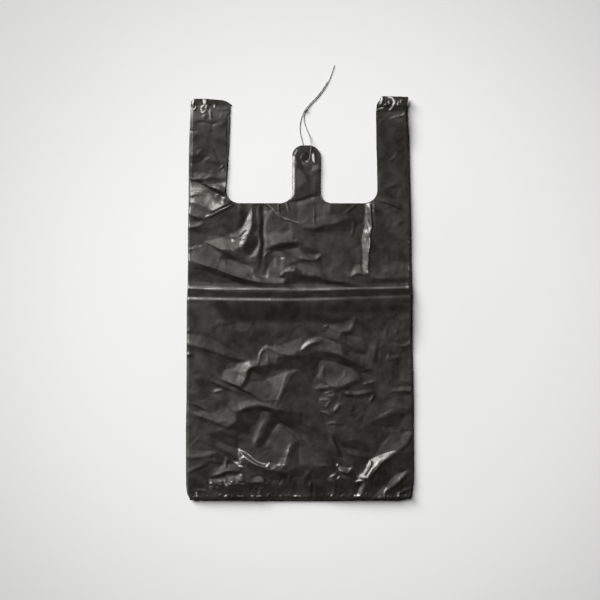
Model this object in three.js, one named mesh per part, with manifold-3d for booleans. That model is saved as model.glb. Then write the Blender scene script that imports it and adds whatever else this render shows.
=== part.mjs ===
// A plastic carrier bag of the vest kind, lying flat on its back panel, with a tie string looped
// through the hanging hole of its centre tab. Millimetres: +X across the bag, +Y towards the handles,
// +Z up. The origin is under the middle of the bag, on the surface that it lies on.
import * as THREE from "three";
import { mergeVertices } from "three/addons/utils/BufferGeometryUtils.js";
import Module from "manifold-3d";

const wasm = await Module();
wasm.setup();

// The film tube, flattened with its side gussets tucked in.
const BAG_WIDTH = 254; // fold to fold
const BAG_LENGTH = 454; // bottom edge to handle tops
const GUSSET_DEPTH = 54; // how far each side tucks in
const FILM = 0.3; // wall of the film
const LAYER_AIR = 0.6; // between two layers where the bag lies relaxed
const SEALED_AIR = 0.15; // between two layers where they are pressed together
const CROWN = 1.1; // how far trapped air lifts the middle of the front panel
const CROWN_FADE = 120; // how far above the bottom edge the crown has grown to its full height
const HANDLE_LEAN = 4.5; // how far each outer fold leans in at the handle tops
const CORNER_PULL = 2; // how far the welded bottom corners draw in

// The welds that close the bottom and the handle tops.
const WELD = 2; // width of a weld
const BOTTOM_SKIRT = 4.5; // loose film below the bottom weld
const HANDLE_SKIRT = 7.5; // loose film above a handle weld
const WELD_FADE = 16; // how far from a weld the layers open again

// The die cut that leaves two handles and a tab.
const HANDLE_LENGTH = 120; // notch floor to handle tops
const LEFT_HANDLE_BASE = 43.5;
const LEFT_HANDLE_TOP = 45.5;
const RIGHT_HANDLE_BASE = 39.5;
const RIGHT_HANDLE_TOP = 36;
const NOTCH_RADIUS = 13;
const TAB_WIDTH = 31;
const TAB_HEIGHT = 65;
const TAB_RADIUS = 12;
const TAB_SHIFT = 6.75; // the die sat this far to the right of the bag's middle
const HOLE_DIAMETER = 11;
const HOLE_DROP = 13.6; // tab top to hole centre

// The crease left by folding the bag in half: two low ridges across the front panel.
const CREASE_Y = 4.8;
const CREASE_SPAN = 12; // ridge to ridge
const CREASE_HEIGHT = 0.7;
const RIDGE_REACH = 3; // ridge top to the foot of its slope

// The tie string.
const STRING_DIAMETER = 1;
const STRING_SIDES = 8;
const STRING_STEPS = 78;
const STRING_REST = 0.08; // the string lies this far above the surface
const CLEARANCE = 0.3; // string to film
const KNOT_LENGTH = 6.4;
const KNOT_WIDTH = 3.4;

// Mesh fineness.
const ACROSS_STEP = 18;
const ALONG_STEP = 22;
const ARC_SEGMENTS = 6;
const CUT_OVERSHOOT = 10;
const ROUNDING = 1e-4;

const BLACK_FILM = { color: 0x2b2a27, roughness: 0.35, metalness: 0 };
const GREY_TWINE = { color: 0x9c9992, roughness: 0.8, metalness: 0 };

const bottom = -BAG_LENGTH / 2;
const top = BAG_LENGTH / 2;
const notchFloor = top - HANDLE_LENGTH;
const tabTop = notchFloor + TAB_HEIGHT;
const tabLeft = TAB_SHIFT - TAB_WIDTH / 2;
const tabRight = TAB_SHIFT + TAB_WIDTH / 2;
const holeY = tabTop - HOLE_DROP;
const lying = STRING_REST + STRING_DIAMETER / 2; // height of the string's middle where it lies
const tabLift = lying + STRING_DIAMETER / 2 + CLEARANCE; // the string runs under the tab
const relaxedPitch = FILM + LAYER_AIR;
const sealedPitch = FILM + SEALED_AIR;
const FRONT = 3; // layers count up from the back panel, 0

const smooth = THREE.MathUtils.smoothstep;
const mix = THREE.MathUtils.lerp;

// Half of the bag's width at a place along it.
function halfWidth(y) {
  const lean = HANDLE_LEAN * smooth(y, CREASE_Y, top);
  const pull = CORNER_PULL * (1 - smooth(y, bottom, bottom + WELD_FADE));
  return BAG_WIDTH / 2 - lean - pull;
}

const leftInnerBase = -halfWidth(notchFloor) + LEFT_HANDLE_BASE;
const leftInnerTop = -halfWidth(top) + LEFT_HANDLE_TOP;
const rightInnerBase = halfWidth(notchFloor) - RIGHT_HANDLE_BASE;
const rightInnerTop = halfWidth(top) - RIGHT_HANDLE_TOP;

// 1 on the tab and 0 on the handles and the body.
function onTab(x, y) {
  const besideTab = (tabRight + rightInnerBase) / 2 - TAB_SHIFT;
  const across = 1 - smooth(Math.abs(x - TAB_SHIFT), TAB_WIDTH / 2 + 1, besideTab);
  return across * smooth(y, notchFloor, holeY - HOLE_DIAMETER);
}

// 1 where a weld presses the layers together and 0 where they lie relaxed.
function pressed(y) {
  const fromBottom = y - (bottom + BOTTOM_SKIRT + WELD);
  const fromTop = top - HANDLE_SKIRT - WELD - y;
  return 1 - smooth(Math.min(fromBottom, fromTop), 0, WELD_FADE);
}

function layerPitch(x, y) {
  return mix(relaxedPitch, sealedPitch, Math.max(pressed(y), onTab(x, y)));
}

// How far the front panel stands above its place in a level stack.
function frontRise(x, y) {
  const free = 1 - pressed(y);
  const across = Math.cos((Math.PI / 2) * Math.min(1, Math.abs(x) / halfWidth(y)));
  const along = smooth(y, bottom, bottom + CROWN_FADE) * (1 - smooth(y, CREASE_Y, notchFloor));
  const fromRidge = Math.abs(Math.abs(y - CREASE_Y) - CREASE_SPAN / 2);
  const ridge = CREASE_HEIGHT * Math.max(0, 1 - fromRidge / RIDGE_REACH);
  return free * (CROWN * across * along + ridge);
}

// Places from low to high, no further apart than a step, that include all the given stops.
function spread(stops, step) {
  const sorted = [...new Set(stops)].sort((a, b) => a - b);
  const places = [sorted[0]];
  for (let i = 1; i < sorted.length; i++) {
    const pieces = Math.max(1, Math.round((sorted[i] - sorted[i - 1]) / step));
    for (let k = 1; k <= pieces; k++) places.push(mix(sorted[i - 1], sorted[i], k / pieces));
  }
  return places;
}

function placesAlong() {
  const weldBottom = bottom + BOTTOM_SKIRT;
  const weldTop = top - HANDLE_SKIRT;
  const ridges = [-1, 1].flatMap((side) => {
    const ridge = CREASE_Y + (side * CREASE_SPAN) / 2;
    return [ridge - RIDGE_REACH, ridge, ridge + RIDGE_REACH];
  });
  const stops = [
    bottom, weldBottom, weldBottom + WELD, weldBottom + WELD + WELD_FADE / 2, weldBottom + WELD + WELD_FADE,
    ...ridges, notchFloor, (notchFloor + holeY) / 2, holeY - HOLE_DIAMETER, tabTop,
    weldTop - WELD - WELD_FADE, weldTop - WELD - WELD_FADE / 2, weldTop - WELD, weldTop, top,
  ];
  return spread(stops, ALONG_STEP);
}

function placesAcross() {
  const edge = BAG_WIDTH / 2;
  const stops = [-edge, leftInnerBase, tabLeft - 1, TAB_SHIFT, tabRight + 1, rightInnerBase, edge];
  return spread(stops, ACROSS_STEP);
}

// The tube's section: x across, and y counting layers, with a layer's own thickness as FILM.
function tubeSection() {
  const edge = BAG_WIDTH / 2;
  const fold = edge - GUSSET_DEPTH;
  const under = (layer) => layer * relaxedPitch;
  const over = (layer) => layer * relaxedPitch + FILM;
  const panel = (y, inset) => {
    const limit = edge - inset;
    const inner = placesAcross().filter((x) => Math.abs(x) < limit - 1);
    return [-limit, ...inner, limit].map((x) => new THREE.Vector2(x, y));
  };
  const gusset = (side, outside) => {
    const outerX = side * (outside ? edge : edge - FILM);
    const innerX = side * (outside ? fold + FILM : fold);
    const low = outside ? over(1) : under(1);
    const high = outside ? under(2) : over(2);
    return [[outerX, low], [innerX, low], [innerX, high], [outerX, high]].map((p) => new THREE.Vector2(...p));
  };
  const ring = (outside) => [
    ...panel(outside ? under(0) : over(0), outside ? 0 : FILM),
    ...gusset(1, outside),
    ...panel(outside ? over(FRONT) : under(FRONT), outside ? 0 : FILM).reverse(),
    ...gusset(-1, outside).reverse(),
  ];
  const section = new THREE.Shape(ring(true));
  section.holes.push(new THREE.Path(ring(false)));
  return section;
}

// The flattened tube: the section run along the bag, with every layer put at its own height.
function filmTube() {
  const along = placesAlong().reverse();
  const steps = along.length - 1;
  const tube = new THREE.ExtrudeGeometry(tubeSection(), { depth: steps, steps, bevelEnabled: false });
  const at = tube.getAttribute("position");
  for (let i = 0; i < at.count; i++) {
    const y = along[Math.round(at.getZ(i))];
    const x = (at.getX(i) * halfWidth(y)) / (BAG_WIDTH / 2);
    const layer = Math.floor(at.getY(i) / relaxedPitch + ROUNDING);
    const within = at.getY(i) - layer * relaxedPitch;
    const rise = layer === FRONT ? frontRise(x, y) : 0;
    at.setXYZ(i, x, y, layer * layerPitch(x, y) + within + rise + tabLift * onTab(x, y));
  }
  return tube;
}

// A bar of film that fills the air between the pressed layers.
function weldBar(lowY) {
  const half = Math.min(halfWidth(lowY), halfWidth(lowY + WELD)) - FILM / 2;
  const height = FRONT * sealedPitch;
  const bar = new THREE.BoxGeometry(2 * half, WELD, height);
  return bar.translate(0, lowY + WELD / 2, FILM / 2 + height / 2);
}

// Adds a line and an arc that rounds a corner to a path that comes from one point and goes to the next.
function roundCorner(path, from, corner, to, radius) {
  const back = from.clone().sub(corner).normalize();
  const on = to.clone().sub(corner).normalize();
  const half = Math.acos(back.dot(on)) / 2;
  const reach = radius / Math.tan(half);
  const centre = back.clone().add(on).normalize().multiplyScalar(radius / Math.sin(half)).add(corner);
  const start = corner.clone().addScaledVector(back, reach).sub(centre);
  const end = corner.clone().addScaledVector(on, reach).sub(centre);
  path.lineTo(centre.x + start.x, centre.y + start.y);
  path.absarc(centre.x, centre.y, radius, start.angle(), end.angle(), start.cross(end) < 0);
}

// The waste that the die takes out between the handles, around the tab.
function dieCut() {
  const past = (HANDLE_LENGTH + CUT_OVERSHOOT) / HANDLE_LENGTH;
  const leftTop = new THREE.Vector2(mix(leftInnerBase, leftInnerTop, past), top + CUT_OVERSHOOT);
  const rightTop = new THREE.Vector2(mix(rightInnerBase, rightInnerTop, past), top + CUT_OVERSHOOT);
  const corners = [
    [leftInnerBase, notchFloor, NOTCH_RADIUS], [tabLeft, notchFloor, NOTCH_RADIUS],
    [tabLeft, tabTop, TAB_RADIUS], [tabRight, tabTop, TAB_RADIUS],
    [tabRight, notchFloor, NOTCH_RADIUS], [rightInnerBase, notchFloor, NOTCH_RADIUS],
  ];
  const points = [leftTop, ...corners.map(([x, y]) => new THREE.Vector2(x, y)), rightTop];
  const outline = new THREE.Shape();
  outline.moveTo(leftTop.x, leftTop.y);
  corners.forEach(([, , radius], i) => roundCorner(outline, points[i], points[i + 1], points[i + 2], radius));
  outline.lineTo(rightTop.x, rightTop.y);
  const deep = 2 * CUT_OVERSHOOT;
  const waste = new THREE.ExtrudeGeometry(outline, { depth: deep, bevelEnabled: false, curveSegments: ARC_SEGMENTS });
  return waste.translate(0, 0, -deep / 2);
}

function holePunch() {
  const punch = new THREE.CylinderGeometry(HOLE_DIAMETER / 2, HOLE_DIAMETER / 2, 2 * CUT_OVERSHOOT, 4 * ARC_SEGMENTS);
  return punch.rotateX(Math.PI / 2).translate(TAB_SHIFT, holeY, 0);
}

// A closed geometry as a solid that can be joined and cut.
function solidOf(geometry) {
  const bare = geometry.clone();
  bare.deleteAttribute("normal");
  bare.deleteAttribute("uv");
  const merged = mergeVertices(bare, 1e-4);
  return new wasm.Manifold(new wasm.Mesh({
    numProp: 3,
    vertProperties: new Float32Array(merged.getAttribute("position").array),
    triVerts: new Uint32Array(merged.index.array),
  }));
}

function geometryOf(solid) {
  const mesh = solid.getMesh();
  const geometry = new THREE.BufferGeometry();
  geometry.setAttribute("position", new THREE.BufferAttribute(mesh.vertProperties, 3));
  geometry.setIndex(new THREE.BufferAttribute(mesh.triVerts, 1));
  const faceted = geometry.toNonIndexed();
  faceted.computeVertexNormals();
  return faceted;
}

function bagFilm() {
  const welded = solidOf(filmTube())
    .add(solidOf(weldBar(bottom + BOTTOM_SKIRT)))
    .add(solidOf(weldBar(top - HANDLE_SKIRT - WELD)));
  return geometryOf(welded.subtract(solidOf(dieCut())).subtract(solidOf(holePunch())));
}

// The string's route is measured from the hole's centre. It lies on the surface, runs under the tab,
// comes up through the hole, crosses the front of the tab and meets itself again in the knot.
const onFront = tabLift + FRONT * sealedPitch + FILM + CLEARANCE + STRING_DIAMETER / 2;
const SHORT_TAIL = [
  [24.1, 85.4, lying], [20.6, 79.6, lying], [16.4, 73.6, lying], [11.6, 67.8, lying],
  [6.6, 62.6, lying], [2.6, 58.4, lying + 0.3],
];
const KNOT_BACK = [[-0.4, 54.6, lying + 0.8], [-2.6, 50.6, lying + 0.4]];
const BACK_LEG = [
  [-4.6, 46.2, lying], [-6.2, 40.4, lying], [-6.9, 33.6, lying], [-6.4, 26.8, lying],
  [-4.8, 20.2, lying], [-3.2, 14.4, lying], [-1.6, 9.2, lying], [-0.2, 5.2, lying],
];
const THROUGH_HOLE = [
  [0.6, 1.8, lying], [0.6, -1.6, lying], [0.6, -3.6, lying + 0.6], [1.3, -4.1, lying + 1.7],
  [2.6, -3.4, onFront - 0.6], [3.9, -1.4, onFront - 0.1],
];
const FRONT_LEG = [
  [4.7, 2, onFront], [5.1, 6.6, onFront], [5.6, 11.6, onFront], [5.6, 16.2, onFront - 0.2],
  [4.9, 20.6, onFront - 1.6], [3.2, 25.8, lying + 0.4], [0.6, 31.8, lying], [-1.6, 38.4, lying],
  [-2.4, 44.8, lying],
];
const KNOT_FRONT = [[-1.2, 50.4, lying + 0.4], [0.9, 54.2, lying + 0.8]];
const LONG_TAIL = [
  [3.8, 57.6, lying + 0.3], [7.6, 61.4, lying], [12.6, 66.6, lying], [17.5, 72.6, lying],
  [21.8, 78.9, lying], [25.6, 86.2, lying], [28.8, 94.4, lying], [31.9, 103.8, lying],
];

function tieString() {
  const route = [
    ...SHORT_TAIL, ...KNOT_BACK, ...BACK_LEG, ...THROUGH_HOLE, ...FRONT_LEG, ...KNOT_FRONT, ...LONG_TAIL,
  ].map(([x, y, z]) => new THREE.Vector3(TAB_SHIFT + x, holeY + y, z));
  const round = new THREE.Shape();
  round.absarc(0, 0, STRING_DIAMETER / 2, 0, 2 * Math.PI);
  const thread = new THREE.ExtrudeGeometry(new THREE.Shape(round.getSpacedPoints(STRING_SIDES).slice(0, -1)), {
    steps: STRING_STEPS,
    extrudePath: new THREE.CatmullRomCurve3(route),
    bevelEnabled: false,
  });
  return geometryOf(solidOf(thread).add(solidOf(knot())));
}

function knot() {
  const ball = new THREE.SphereGeometry(KNOT_WIDTH / 2, 12, 8);
  ball.scale(1, KNOT_LENGTH / KNOT_WIDTH, 0.8);
  const [from, to] = [KNOT_BACK[1], KNOT_FRONT[1]];
  ball.rotateZ(-Math.atan2(to[0] - from[0], to[1] - from[1]));
  return ball.translate(TAB_SHIFT - 0.8, holeY + 52.5, 0.4 * KNOT_WIDTH);
}

function piece(name, geometry, look) {
  const mesh = new THREE.Mesh(geometry, new THREE.MeshStandardMaterial(look));
  mesh.name = name;
  return mesh;
}

const carrierBag = new THREE.Group();
carrierBag.add(piece("bag_film", bagFilm(), BLACK_FILM));
carrierBag.add(piece("tie_string", tieString(), GREY_TWINE));

export default carrierBag;
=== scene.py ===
"""The looks of a plastic carrier bag that lies flat on its back panel, with a tie string in its tab.
Film sizes are in millimetres and become metres where the mesh is made. The string's route is in metres.
Places in the photo are in pixels of a 600 by 600 frame, and lines of them are written as text, such as
"194,124 197,122.5"."""
import math

import bpy
import numpy as np
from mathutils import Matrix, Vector


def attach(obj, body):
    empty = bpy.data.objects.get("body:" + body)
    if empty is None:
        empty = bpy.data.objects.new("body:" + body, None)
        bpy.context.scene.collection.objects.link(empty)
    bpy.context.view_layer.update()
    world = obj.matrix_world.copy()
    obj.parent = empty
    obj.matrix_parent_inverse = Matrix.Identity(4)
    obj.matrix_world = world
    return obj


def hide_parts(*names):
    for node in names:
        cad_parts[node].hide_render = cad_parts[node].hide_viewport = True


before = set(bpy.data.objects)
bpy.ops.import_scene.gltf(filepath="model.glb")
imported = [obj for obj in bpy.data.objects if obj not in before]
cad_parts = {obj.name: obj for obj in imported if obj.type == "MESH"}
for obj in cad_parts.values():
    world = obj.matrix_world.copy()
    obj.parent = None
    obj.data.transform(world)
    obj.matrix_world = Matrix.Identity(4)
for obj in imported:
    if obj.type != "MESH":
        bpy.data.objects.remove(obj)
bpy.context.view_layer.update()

MM = 0.001
PIXEL = 1.1239  # millimetres across one photo pixel
PICTURE_SIZE = 600  # photo pixels
BAG_MIDDLE = (300.0, 298.5)  # the photo pixel over the bag's origin

# The flattened tube of film.
BAG_WIDTH = 254.0
BAG_LENGTH = 454.0
GUSSET_DEPTH = 54.0
FOLD_RADIUS = 1.0
FOLD_SIDES = 4
STACK = 2.4  # back panel to front panel where the film lies relaxed
WELDED_STACK = 1.1
TAB_STACK = 1.0
GUSSET_HEIGHTS = (0.33, 0.66)  # of the stack, for the gussets' two layers
TAB_LIFT = 1.43  # the string runs under the tab
CREASE_Y = 4.8  # the crease from packing, from which the sides lean in towards the handles
HANDLE_LEAN = 4.5
CORNER_PULL = 2.0  # the bottom corners are drawn in
CORNER_REACH = 9.0
EDGE_DIP = 0.5  # share of its height that the stack loses along the left edge's fold
EDGE_DIP_REACH = 2.2
BODY_DIP = 0.4  # share of that dip below the handles
BODY_DIP_FADE = 10.0
REST_HEIGHT = 0.12  # the back panel over the floor
BACK_WAVE = 0.25
BACK_WAVE_LENGTHS = (31, 47, 70)
BACK_WAVE_SLANT = 0.6
BACK_WAVE_SEED = 5
WELD_GRIP = 0.2  # share of the wrinkles that a weld takes away
DEEPEST = 0.6  # share of the stack that a wrinkle may press down
LOW_REACH = 7  # cells round a place whose lowest wrinkle a hidden layer stays under

# The welds and the die cut.
WELD = 2.0
BOTTOM_SKIRT = 4.5
HANDLE_SKIRT = 7.5
WELD_FADE = 20.0  # how far from a weld the layers open again
HANDLE_LENGTH = 120.0
LEFT_HANDLE_BASE = 43.5
LEFT_HANDLE_TOP = 45.5
RIGHT_HANDLE_BASE = 39.5
RIGHT_HANDLE_TOP = 36.0
HANDLE_LEAN_END = 1.2  # handle lengths above the notch floor where the cut's lean ends
NOTCH_RADIUS = 13.0
TAB_WIDTH = 31.0
TAB_HEIGHT = 65.0
TAB_RADIUS = 12.0
TAB_SHIFT = 6.75
TAB_ROOT = 60.0  # how far the tab's outline goes on below the notch floor
TAB_CUT_REACH = 2.0  # how far beside the tab its rounded top is cut out of the film
TAB_SHOULDER = (1.0, 30.0)  # the tab's lift fades out over this span beside it
HOLE_DIAMETER = 11.0
HOLE_DROP = 13.6
HOLE_TILT = 0.2  # slope of the back layer behind the hole
BACK_SLIP = 8.6  # the tab's back layer has slid down behind the front one
NOTCH_OVERSHOOT = 100.0  # the notches go on this far above the handle tops

# The mesh of the film.
FRONT_STEP = 1.2
HIDDEN_STEP = 7.0
ROW_STEP = 1.25
WELD_ROW_STEP = 0.7
WELD_ROWS_REACH = 19.0  # from each end of the film
BACK_LAYER_END = 0.5  # layers count from 0, the back panel, to 3, the front panel
FRONT_LAYER_START = 2.5
FRONT_LAYER = 3

# The raster on which the wrinkles are shaped.
CELL = 0.6
RASTER_MARGIN = 8.0
LAST_CELL = 1.001  # points short of the raster's end, so that a next one is there
SWELLS = [(0.15, 3, 34), (0.1, 4, 15)]  # broad bumps: height, seed and spacing
WAVER = 0.9  # how far creases and facet edges stray from smooth lines
WAVER_SPACING = 9
WAVER_SEED = 7
LINE_POINTS = 4  # points on a smooth line for each stretch between two photo places
RELIEF = 0.5  # share of the creases' full heights
TAPER = 0.3  # share of a crease's length over which each end fades
SHORT_TAPER = 0.5
SHORT_BOW = 0.3  # how far a short crease may bow, as a share of half its length
GROOVE_SHARE = -0.7  # depth of a short groove, as a share of a short ridge's height
PANE_EDGE = 0.8  # half the width over which one facet turns into the next
SOFT_EDGE = 4.5  # the same for soft facets
LONGEST = 130.0  # facets don't add up to heights over more than this
STRAY = 0.04  # how strongly slopes are held down that no facet asks for
GLINT_HALF = 0.3  # half a glint's width, inside which it has its full slope
GLINT_EDGE = 1.3  # from a glint's middle to where it has faded out
BILLOW = 0.15  # how unevenly all facets that face the window are tilted
BILLOW_SPACING = 8
BILLOW_SEED = 34
CRUMPLE = 0.4  # the same for the steeper ones, in finer crumples
CRUMPLE_FROM = 0.2
CRUMPLES = [(1, 31, 2.8, 4), (1, 32, 1.6, 3), (0.5, 33, 5, 1)]  # share, seed, spacing and stretch

WINDOW = (-3.1, 2.82, 5.35)  # where the light comes from, in metres
AWAY = (0.74, -0.673)  # the way across the bag that leads away from the window

EDGE = BAG_WIDTH / 2
TOP = BAG_LENGTH / 2
NOTCH_FLOOR = TOP - HANDLE_LENGTH
TAB_TOP = NOTCH_FLOOR + TAB_HEIGHT
HOLE_Y = TAB_TOP - HOLE_DROP


def smooth(value, low, high):
    t = np.clip((value - low) / (high - low), 0.0, 1.0)
    return t * t * (3.0 - 2.0 * t)


def mix(a, b, t):
    return a + (b - a) * t


def between(value, low, full, fading, high):
    """From 0 at low to 1 at full, and from 1 at fading to 0 at high."""
    return smooth(value, low, full) * (1 - smooth(value, fading, high))


def pairs(text):
    """Number pairs from text such as "194,124 197,122.5"."""
    return [tuple(float(number) for number in pair.split(",")) for pair in text.split()]


def spot(pixel):
    """The place on the bag, in millimetres, under a photo pixel."""
    return ((pixel[0] - BAG_MIDDLE[0]) * PIXEL, (BAG_MIDDLE[1] - pixel[1]) * PIXEL)


# Camera

CAMERA_HEIGHT = 2.4
SENSOR = 36.0


def make_camera():
    data = bpy.data.cameras.new("camera")
    data.sensor_width = SENSOR
    data.lens = SENSOR * CAMERA_HEIGHT / (PICTURE_SIZE * PIXEL * MM)
    camera = bpy.data.objects.new("camera", data)
    x, y = spot((PICTURE_SIZE / 2, PICTURE_SIZE / 2))
    camera.location = (x * MM, y * MM, CAMERA_HEIGHT)
    bpy.context.scene.collection.objects.link(camera)
    bpy.context.scene.camera = camera


make_camera()

# Materials


def new_material(name):
    material = bpy.data.materials.new(name)
    material.use_nodes = True
    return material, material.node_tree, material.node_tree.nodes["Principled BSDF"]


def set_inputs(tree, node, inputs):
    """Gives each named input of a node its value, or a link from another node's output."""
    for name, value in inputs.items():
        if isinstance(value, bpy.types.NodeSocket):
            tree.links.new(value, node.inputs[name])
        else:
            node.inputs[name].default_value = value


def add_node(tree, kind, inputs, **settings):
    """Adds a shader node with its settings and inputs."""
    node = tree.nodes.new("ShaderNode" + kind)
    for name, setting in settings.items():
        setattr(node, name, setting)
    set_inputs(tree, node, inputs)
    return node


def object_space(tree, stretch):
    """Places on the object, for a texture that is finer or coarser along each axis."""
    place = add_node(tree, "TexCoord", {})
    return add_node(tree, "Mapping", {"Vector": place.outputs["Object"], "Scale": stretch}).outputs["Vector"]


def noise(tree, scale, detail, stretch=(1, 1, 1)):
    """A noise texture in object space, with its scale in waves a metre."""
    inputs = {"Vector": object_space(tree, stretch), "Scale": scale, "Detail": detail}
    return add_node(tree, "TexNoise", inputs).outputs["Fac"]


def cells(tree, scale, stretch):
    """Soft-edged cells in object space, with their number a metre."""
    inputs = {"Vector": object_space(tree, stretch), "Scale": scale}
    return add_node(tree, "TexVoronoi", inputs, feature="SMOOTH_F1").outputs["Distance"]


def to_range(tree, source, low, high, from_low, from_high, **settings):
    inputs = {"Value": source, "To Min": low, "To Max": high, "From Min": from_low, "From Max": from_high}
    return add_node(tree, "MapRange", inputs, **settings).outputs["Result"]


def blend_colours(tree, factor, dark, light):
    inputs = {"Factor": factor, "A": (*dark, 1), "B": (*light, 1)}
    return add_node(tree, "Mix", inputs, data_type="RGBA").outputs["Result"]


def bumps(tree, layers):
    """A normal from a chain of bumps, each a height source and its depth in metres."""
    chain = {}
    for source, depth in layers:
        bump = add_node(tree, "Bump", {"Height": source, "Distance": depth, **chain})
        chain = {"Normal": bump.outputs["Normal"]}
    return chain["Normal"]


def film_material():
    material, tree, shader = new_material("black_film")
    haze = to_range(tree, noise(tree, scale=38, detail=4), 0, 1, 0.35, 0.68)
    draw_lines = noise(tree, scale=420, detail=2, stretch=(1, 0.05, 1))
    crinkle = cells(tree, scale=150, stretch=(1, 0.8, 1))
    grain = noise(tree, scale=900, detail=3)
    set_inputs(tree, shader, {
        "Base Color": blend_colours(tree, haze, (0.0080, 0.0058, 0.0036), (0.0115, 0.0098, 0.0070)),
        "Roughness": to_range(tree, noise(tree, scale=90, detail=5), 0.34, 0.48, 0.3, 0.7),
        "IOR": 1.51,
        "Specular IOR Level": 1.0,
        "Specular Tint": (1.0, 0.99, 0.92, 1),
        "Coat Weight": 0.5,
        "Coat Roughness": 0.13,
        "Normal": bumps(tree, [(draw_lines, 0.00002), (crinkle, 0.00008), (grain, 0.000008)]),
    })
    return material


def twine_material():
    material, tree, shader = new_material("grey_twine")
    fibre = noise(tree, scale=1800, detail=4)
    set_inputs(tree, shader, {
        "Base Color": blend_colours(tree, fibre, (0.12, 0.115, 0.105), (0.42, 0.41, 0.385)),
        "Roughness": 0.62,
        "Normal": bumps(tree, [(fibre, 0.00015)]),
    })
    return material


# The floor's colour is painted darker away from one place: painted shade where the lamps' light falls off
# towards the corners.
FLOOR_PAINTED_LIGHT_MIDDLE = (0.05, -0.04, 0)
FLOOR_PAINTED_SHADE_SPAN = (0.20, 0.62)  # metres from the brightest place, over which the painted shade deepens


def floor_material():
    material, tree, shader = new_material("pale_floor")
    place = add_node(tree, "TexCoord", {})
    ends = {0: place.outputs["Object"], 1: FLOOR_PAINTED_LIGHT_MIDDLE}
    reach = add_node(tree, "VectorMath", ends, operation="DISTANCE").outputs["Value"]
    # Painted shade: the floor's colour turns darker with distance from its brightest place.
    painted_shade = to_range(tree, reach, 0, 1, *FLOOR_PAINTED_SHADE_SPAN, interpolation_type="SMOOTHSTEP")
    set_inputs(tree, shader, {
        "Base Color": blend_colours(tree, painted_shade, (0.87, 0.87, 0.86), (0.57, 0.57, 0.562)),
        "Roughness": 0.9,
        "Normal": bumps(tree, [(noise(tree, scale=60, detail=6), 0.00005)]),
    })
    return material


FILM = film_material()
TWINE = twine_material()


def make_object(name, points, faces, material):
    mesh = bpy.data.meshes.new(name)
    mesh.from_pydata(points, [], faces)
    mesh.polygons.foreach_set("use_smooth", [True] * len(mesh.polygons))
    mesh.materials.append(material)
    mesh.update()
    piece = bpy.data.objects.new(name, mesh)
    bpy.context.scene.collection.objects.link(piece)
    return piece


# Tie string

STRING_DIAMETER = 0.0009
LYING = 0.00058  # height of the string's middle on the floor
ON_FRONT = 0.00394  # and on the tab
HOLE = Vector((TAB_SHIFT * MM, HOLE_Y * MM, 0))
TWIST_PITCH = 0.0024
PLY_OFFSET = 0.24  # a ply's middle from the string's, in diameters
RING_SIDES = 10
ROUTE_STEP = 0.00035

KNOT_MIDDLE = (-0.0008, 0.0525, 0.0015)
KNOT_DIRECTION = (0.0035, 0.0040, 0)
KNOT_LENGTH = 0.0044
KNOT_TURNS = 3.4
KNOT_TURN_POINTS = 14
KNOT_GIRTH = 0.00095
KNOT_CORE = 0.00015
KNOT_SWELL = (0.16, 0.68)  # start and length of the part of half a wave that its girth follows
KNOT_FLATNESS = 0.85
KNOT_THREAD = 1.05  # its thread's thickness, in string diameters

# The two strands from the hole to their ends.
LONG_STRAND = [
    (0.0013, -0.0041, LYING + 0.0017), (0.0026, -0.0034, ON_FRONT - 0.0006),
    (0.0039, -0.0014, ON_FRONT - 0.0001), (0.0047, 0.0020, ON_FRONT), (0.0051, 0.0066, ON_FRONT),
    (0.0056, 0.0116, ON_FRONT), (0.0056, 0.0162, ON_FRONT - 0.0002), (0.0049, 0.0206, ON_FRONT - 0.0016),
    (0.0032, 0.0258, LYING + 0.0004), (0.0006, 0.0318, LYING), (-0.0016, 0.0384, LYING),
    (-0.0024, 0.0448, LYING), (-0.0012, 0.0504, LYING + 0.0004), (0.0009, 0.0542, LYING + 0.0008),
    (0.0038, 0.0576, LYING + 0.0003), (0.0076, 0.0614, LYING), (0.0126, 0.0666, LYING),
    (0.0175, 0.0726, LYING), (0.0218, 0.0789, LYING), (0.0256, 0.0862, LYING),
    (0.0288, 0.0944, LYING), (0.0319, 0.1038, LYING),
]
SHORT_STRAND = [
    (0.0006, -0.0036, LYING + 0.0006), (0.0006, -0.0016, LYING), (0.0006, 0.0018, LYING),
    (-0.0002, 0.0052, LYING), (-0.0016, 0.0092, LYING), (-0.0032, 0.0144, LYING),
    (-0.0048, 0.0202, LYING), (-0.0064, 0.0268, LYING), (-0.0069, 0.0336, LYING),
    (-0.0062, 0.0404, LYING), (-0.0046, 0.0462, LYING), (-0.0026, 0.0506, LYING + 0.0004),
    (-0.0004, 0.0546, LYING + 0.0008), (0.0026, 0.0584, LYING + 0.0003), (0.0066, 0.0626, LYING),
    (0.0116, 0.0678, LYING), (0.0164, 0.0736, LYING), (0.0206, 0.0796, LYING), (0.0241, 0.0854, LYING),
]


def curve_through(points, step):
    """Points close together on a smooth curve through the given ones."""
    ends = [points[0] * 2 - points[1], *points, points[-1] * 2 - points[-2]]
    line = []
    for a, b, c, d in zip(ends, ends[1:], ends[2:], ends[3:]):
        count = max(2, round((c - b).length / step))
        for k in range(count):
            t = k / count
            line.append(0.5 * (2 * b + (c - a) * t + (2 * a - 5 * b + 4 * c - d) * t * t
                               + (3 * b - a - 3 * c + d) * t * t * t))
    return [*line, points[-1].copy()]


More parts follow.
